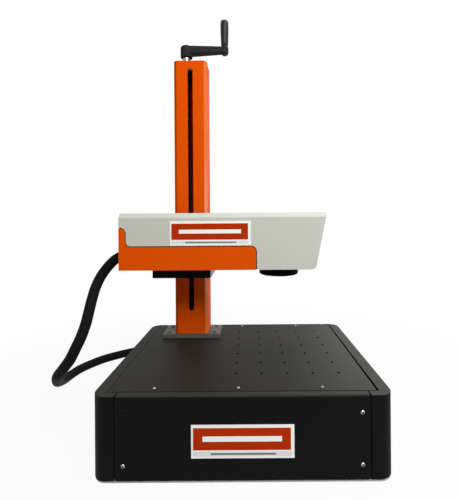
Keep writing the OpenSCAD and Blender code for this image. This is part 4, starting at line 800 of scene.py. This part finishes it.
def makeSeamShadeStrips(d):
    front, back = d["y"]
    low, high = d["z"]
    bm = bmesh.new()
    for side in (-1, 1):
        inner, outer = (side * x for x in d["x"])
        addSlab(bm, [(inner, front), (outer, front), (outer, back), (inner, back)], [low] * 4, [high] * 4)
    bmesh.ops.recalc_face_normals(bm, faces=bm.faces)
    piece = meshPiece("seamShadeStrips", bm)
    piece.data.materials.append(rubberBlack)
    place(piece, "base", "foot_rubber")
    print("seam trim fitted")


makeSeamShadeStrips(seamShadeStrips)


# labels: printed film with a white edge, a red field, a pale stripe and plain bars

labels = dict(
    nodes={"baseLabel": "base_label", "headLabel": "head_label"},
    films=[labelWhite, labelRed, labelGrey, labelInk],
    # parts of the print as shares of the width and height: left, right, bottom, top, film
    print=[
        (0.018, 0.966, 0.240, 0.903, labelRed),
        (0.018, 0.975, 0.055, 0.200, labelGrey),
        (0.110, 0.880, 0.495, 0.655, labelWhite),
        (0.190, 0.820, 0.100, 0.155, labelInk),
    ],
)


def makeLabel(name, node, d):
    low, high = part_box(node)
    us = sorted({0.0, 1.0, *(u for part in d["print"] for u in part[0:2])})
    vs = sorted({0.0, 1.0, *(v for part in d["print"] for v in part[2:4])})
    bm = bmesh.new()
    grid = [[bm.verts.new((low.x + u * (high.x - low.x), low.y, low.z + v * (high.z - low.z)))
             for u in us] for v in vs]
    for j in range(len(vs) - 1):
        for i in range(len(us) - 1):
            face = bm.faces.new((grid[j][i], grid[j][i + 1], grid[j + 1][i + 1], grid[j + 1][i]))
            u, v = (us[i] + us[i + 1]) / 2, (vs[j] + vs[j + 1]) / 2
            for left, right, bottom, top, film in d["print"]:
                if left < u < right and bottom < v < top:
                    face.material_index = d["films"].index(film)
    rim = [edge for edge in bm.edges if edge.is_boundary]
    for part in bmesh.ops.extrude_edge_only(bm, edges=rim)["geom"]:
        if isinstance(part, bmesh.types.BMVert):
            part.co.y = high.y
    bmesh.ops.contextual_create(bm, geom=[edge for edge in bm.edges if edge.is_boundary])
    for face in bm.faces:
        if abs(face.normal.y) < 0.5:
            face.material_index = 0
    bmesh.ops.recalc_face_normals(bm, faces=bm.faces)
    piece = meshPiece(name, bm)
    for film in d["films"]:
        piece.data.materials.append(film)
    place(piece, bodyOf[node], "label_print", node)


for name, node in labels["nodes"].items():
    makeLabel(name, node, labels)
print("labels printed")


# studio: a floor that fades into white, a wide lamp in front, others above, at the right and behind

studio = dict(
    floorHalf=6.0,
    floorColour="#C8C8C6",
    fadeFrom=0.55,
    fadeTo=1.3,
    leastWhite=0.94,     # share of plain white that is seen on the floor near the machine
    shadeCorner=0.026,   # the floor under the cabinet stays dark, with corners as round as this
    fill=0.08,
    lamps=[
        # name, place, aimed at, size, watts
        ("key", (0.6, -1.75, 1.85), (0.0, 0.0, 0.4), (1.4, 0.9), 48),
        ("overhead", (0.4, 0.1, 1.8), (0.15, 0.0, 0.15), (1.1, 1.1), 13),
        ("right", (1.3, -0.25, 0.4), (0.1, 0.0, 0.2), (0.6, 0.6), 6),
        ("back", (1.1, 1.7, 0.95), (0.1, 0.0, 0.2), (1.0, 0.8), 12),
    ],
)


def seenPlainly(tree):
    # 1 where the white itself is seen, also in a reflection or through glass; 0 where it only sends light
    ray = addNode(tree, "ShaderNodeLightPath")
    seen = addNode(tree, "ShaderNodeMath", {
        0: ray.outputs["Is Camera Ray"], 1: ray.outputs["Is Glossy Ray"]}, operation="MAXIMUM")
    return addNode(tree, "ShaderNodeMath", {
        0: seen.outputs[0], 1: ray.outputs["Is Transmission Ray"]}, operation="MAXIMUM").outputs[0]


def makeFloor(s):
    half = s["floorHalf"]
    bm = bmesh.new()
    bm.faces.new([bm.verts.new((x * half, y * half, 0)) for x, y in ((-1, -1), (1, -1), (1, 1), (-1, 1))])
    floor = meshPiece("studioFloor", bm)
    paper = bpy.data.materials.new("whitePaper")
    paper.use_nodes = True
    tree = paper.node_tree
    tree.nodes.clear()
    where = addNode(tree, "ShaderNodeTexCoord")
    reach = addNode(tree, "ShaderNodeVectorMath", {0: where.outputs["Object"]}, operation="LENGTH")
    fade = addNode(tree, "ShaderNodeMapRange", {
        "Value": reach.outputs["Value"], "From Min": s["fadeFrom"], "From Max": s["fadeTo"],
        "To Min": s["leastWhite"]}, interpolation_type="SMOOTHSTEP")
    share = addNode(tree, "ShaderNodeMath", {0: fade.outputs[0], 1: seenPlainly(tree)}, operation="MULTIPLY")
    flat = addNode(tree, "ShaderNodeVectorMath", {0: where.outputs["Object"]}, operation="ABSOLUTE")
    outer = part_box("right_side_cover")[1]
    inner = (outer.x - s["shadeCorner"], outer.y - s["shadeCorner"], 0.0)
    past = addNode(tree, "ShaderNodeVectorMath", {0: flat.outputs[0], 1: inner}, operation="SUBTRACT")
    edge = addNode(tree, "ShaderNodeVectorMath", {0: past.outputs[0], 1: (0, 0, 0)}, operation="MAXIMUM")
    gap = addNode(tree, "ShaderNodeVectorMath", {0: edge.outputs[0]}, operation="LENGTH")
    clear = addNode(tree, "ShaderNodeMath", {
        0: gap.outputs["Value"], 1: s["shadeCorner"]}, operation="GREATER_THAN")
    openFloor = addNode(tree, "ShaderNodeMath", {
        0: share.outputs[0], 1: clear.outputs[0]}, operation="MULTIPLY")
    matt = addNode(tree, "ShaderNodeBsdfDiffuse", {"Color": linear(s["floorColour"])})
    white = addNode(tree, "ShaderNodeEmission", {"Color": (1, 1, 1, 1), "Strength": 1.0})
    mix = addNode(tree, "ShaderNodeMixShader", {
        0: openFloor.outputs[0], 1: matt.outputs[0], 2: white.outputs[0]})
    addNode(tree, "ShaderNodeOutputMaterial", {"Surface": mix.outputs[0]})
    floor.data.materials.append(paper)


def lightStudio(s):
    world = bpy.data.worlds.new("studioWorld")
    world.use_nodes = True
    scene.world = world
    tree = world.node_tree
    tree.nodes.clear()
    strength = addNode(tree, "ShaderNodeMapRange", {
        "Value": seenPlainly(tree), "To Min": s["fill"], "To Max": 1.0})
    sky = addNode(tree, "ShaderNodeBackground", {"Color": (1, 1, 1, 1), "Strength": strength.outputs[0]})
    addNode(tree, "ShaderNodeOutputWorld", {"Surface": sky.outputs[0]})

    for name, spot, aim, size, watts in s["lamps"]:
        lamp = bpy.data.lights.new(name + "Softbox", "AREA")
        lamp.shape = "RECTANGLE"
        lamp.size, lamp.size_y = size
        lamp.energy = watts
        holder = bpy.data.objects.new(name + "Softbox", lamp)
        holder.location = spot
        holder.rotation_euler = (Vector(aim) - Vector(spot)).to_track_quat("-Z", "Y").to_euler()
        scene.collection.objects.link(holder)
    print("studio lit")


makeFloor(studio)
lightStudio(studio)
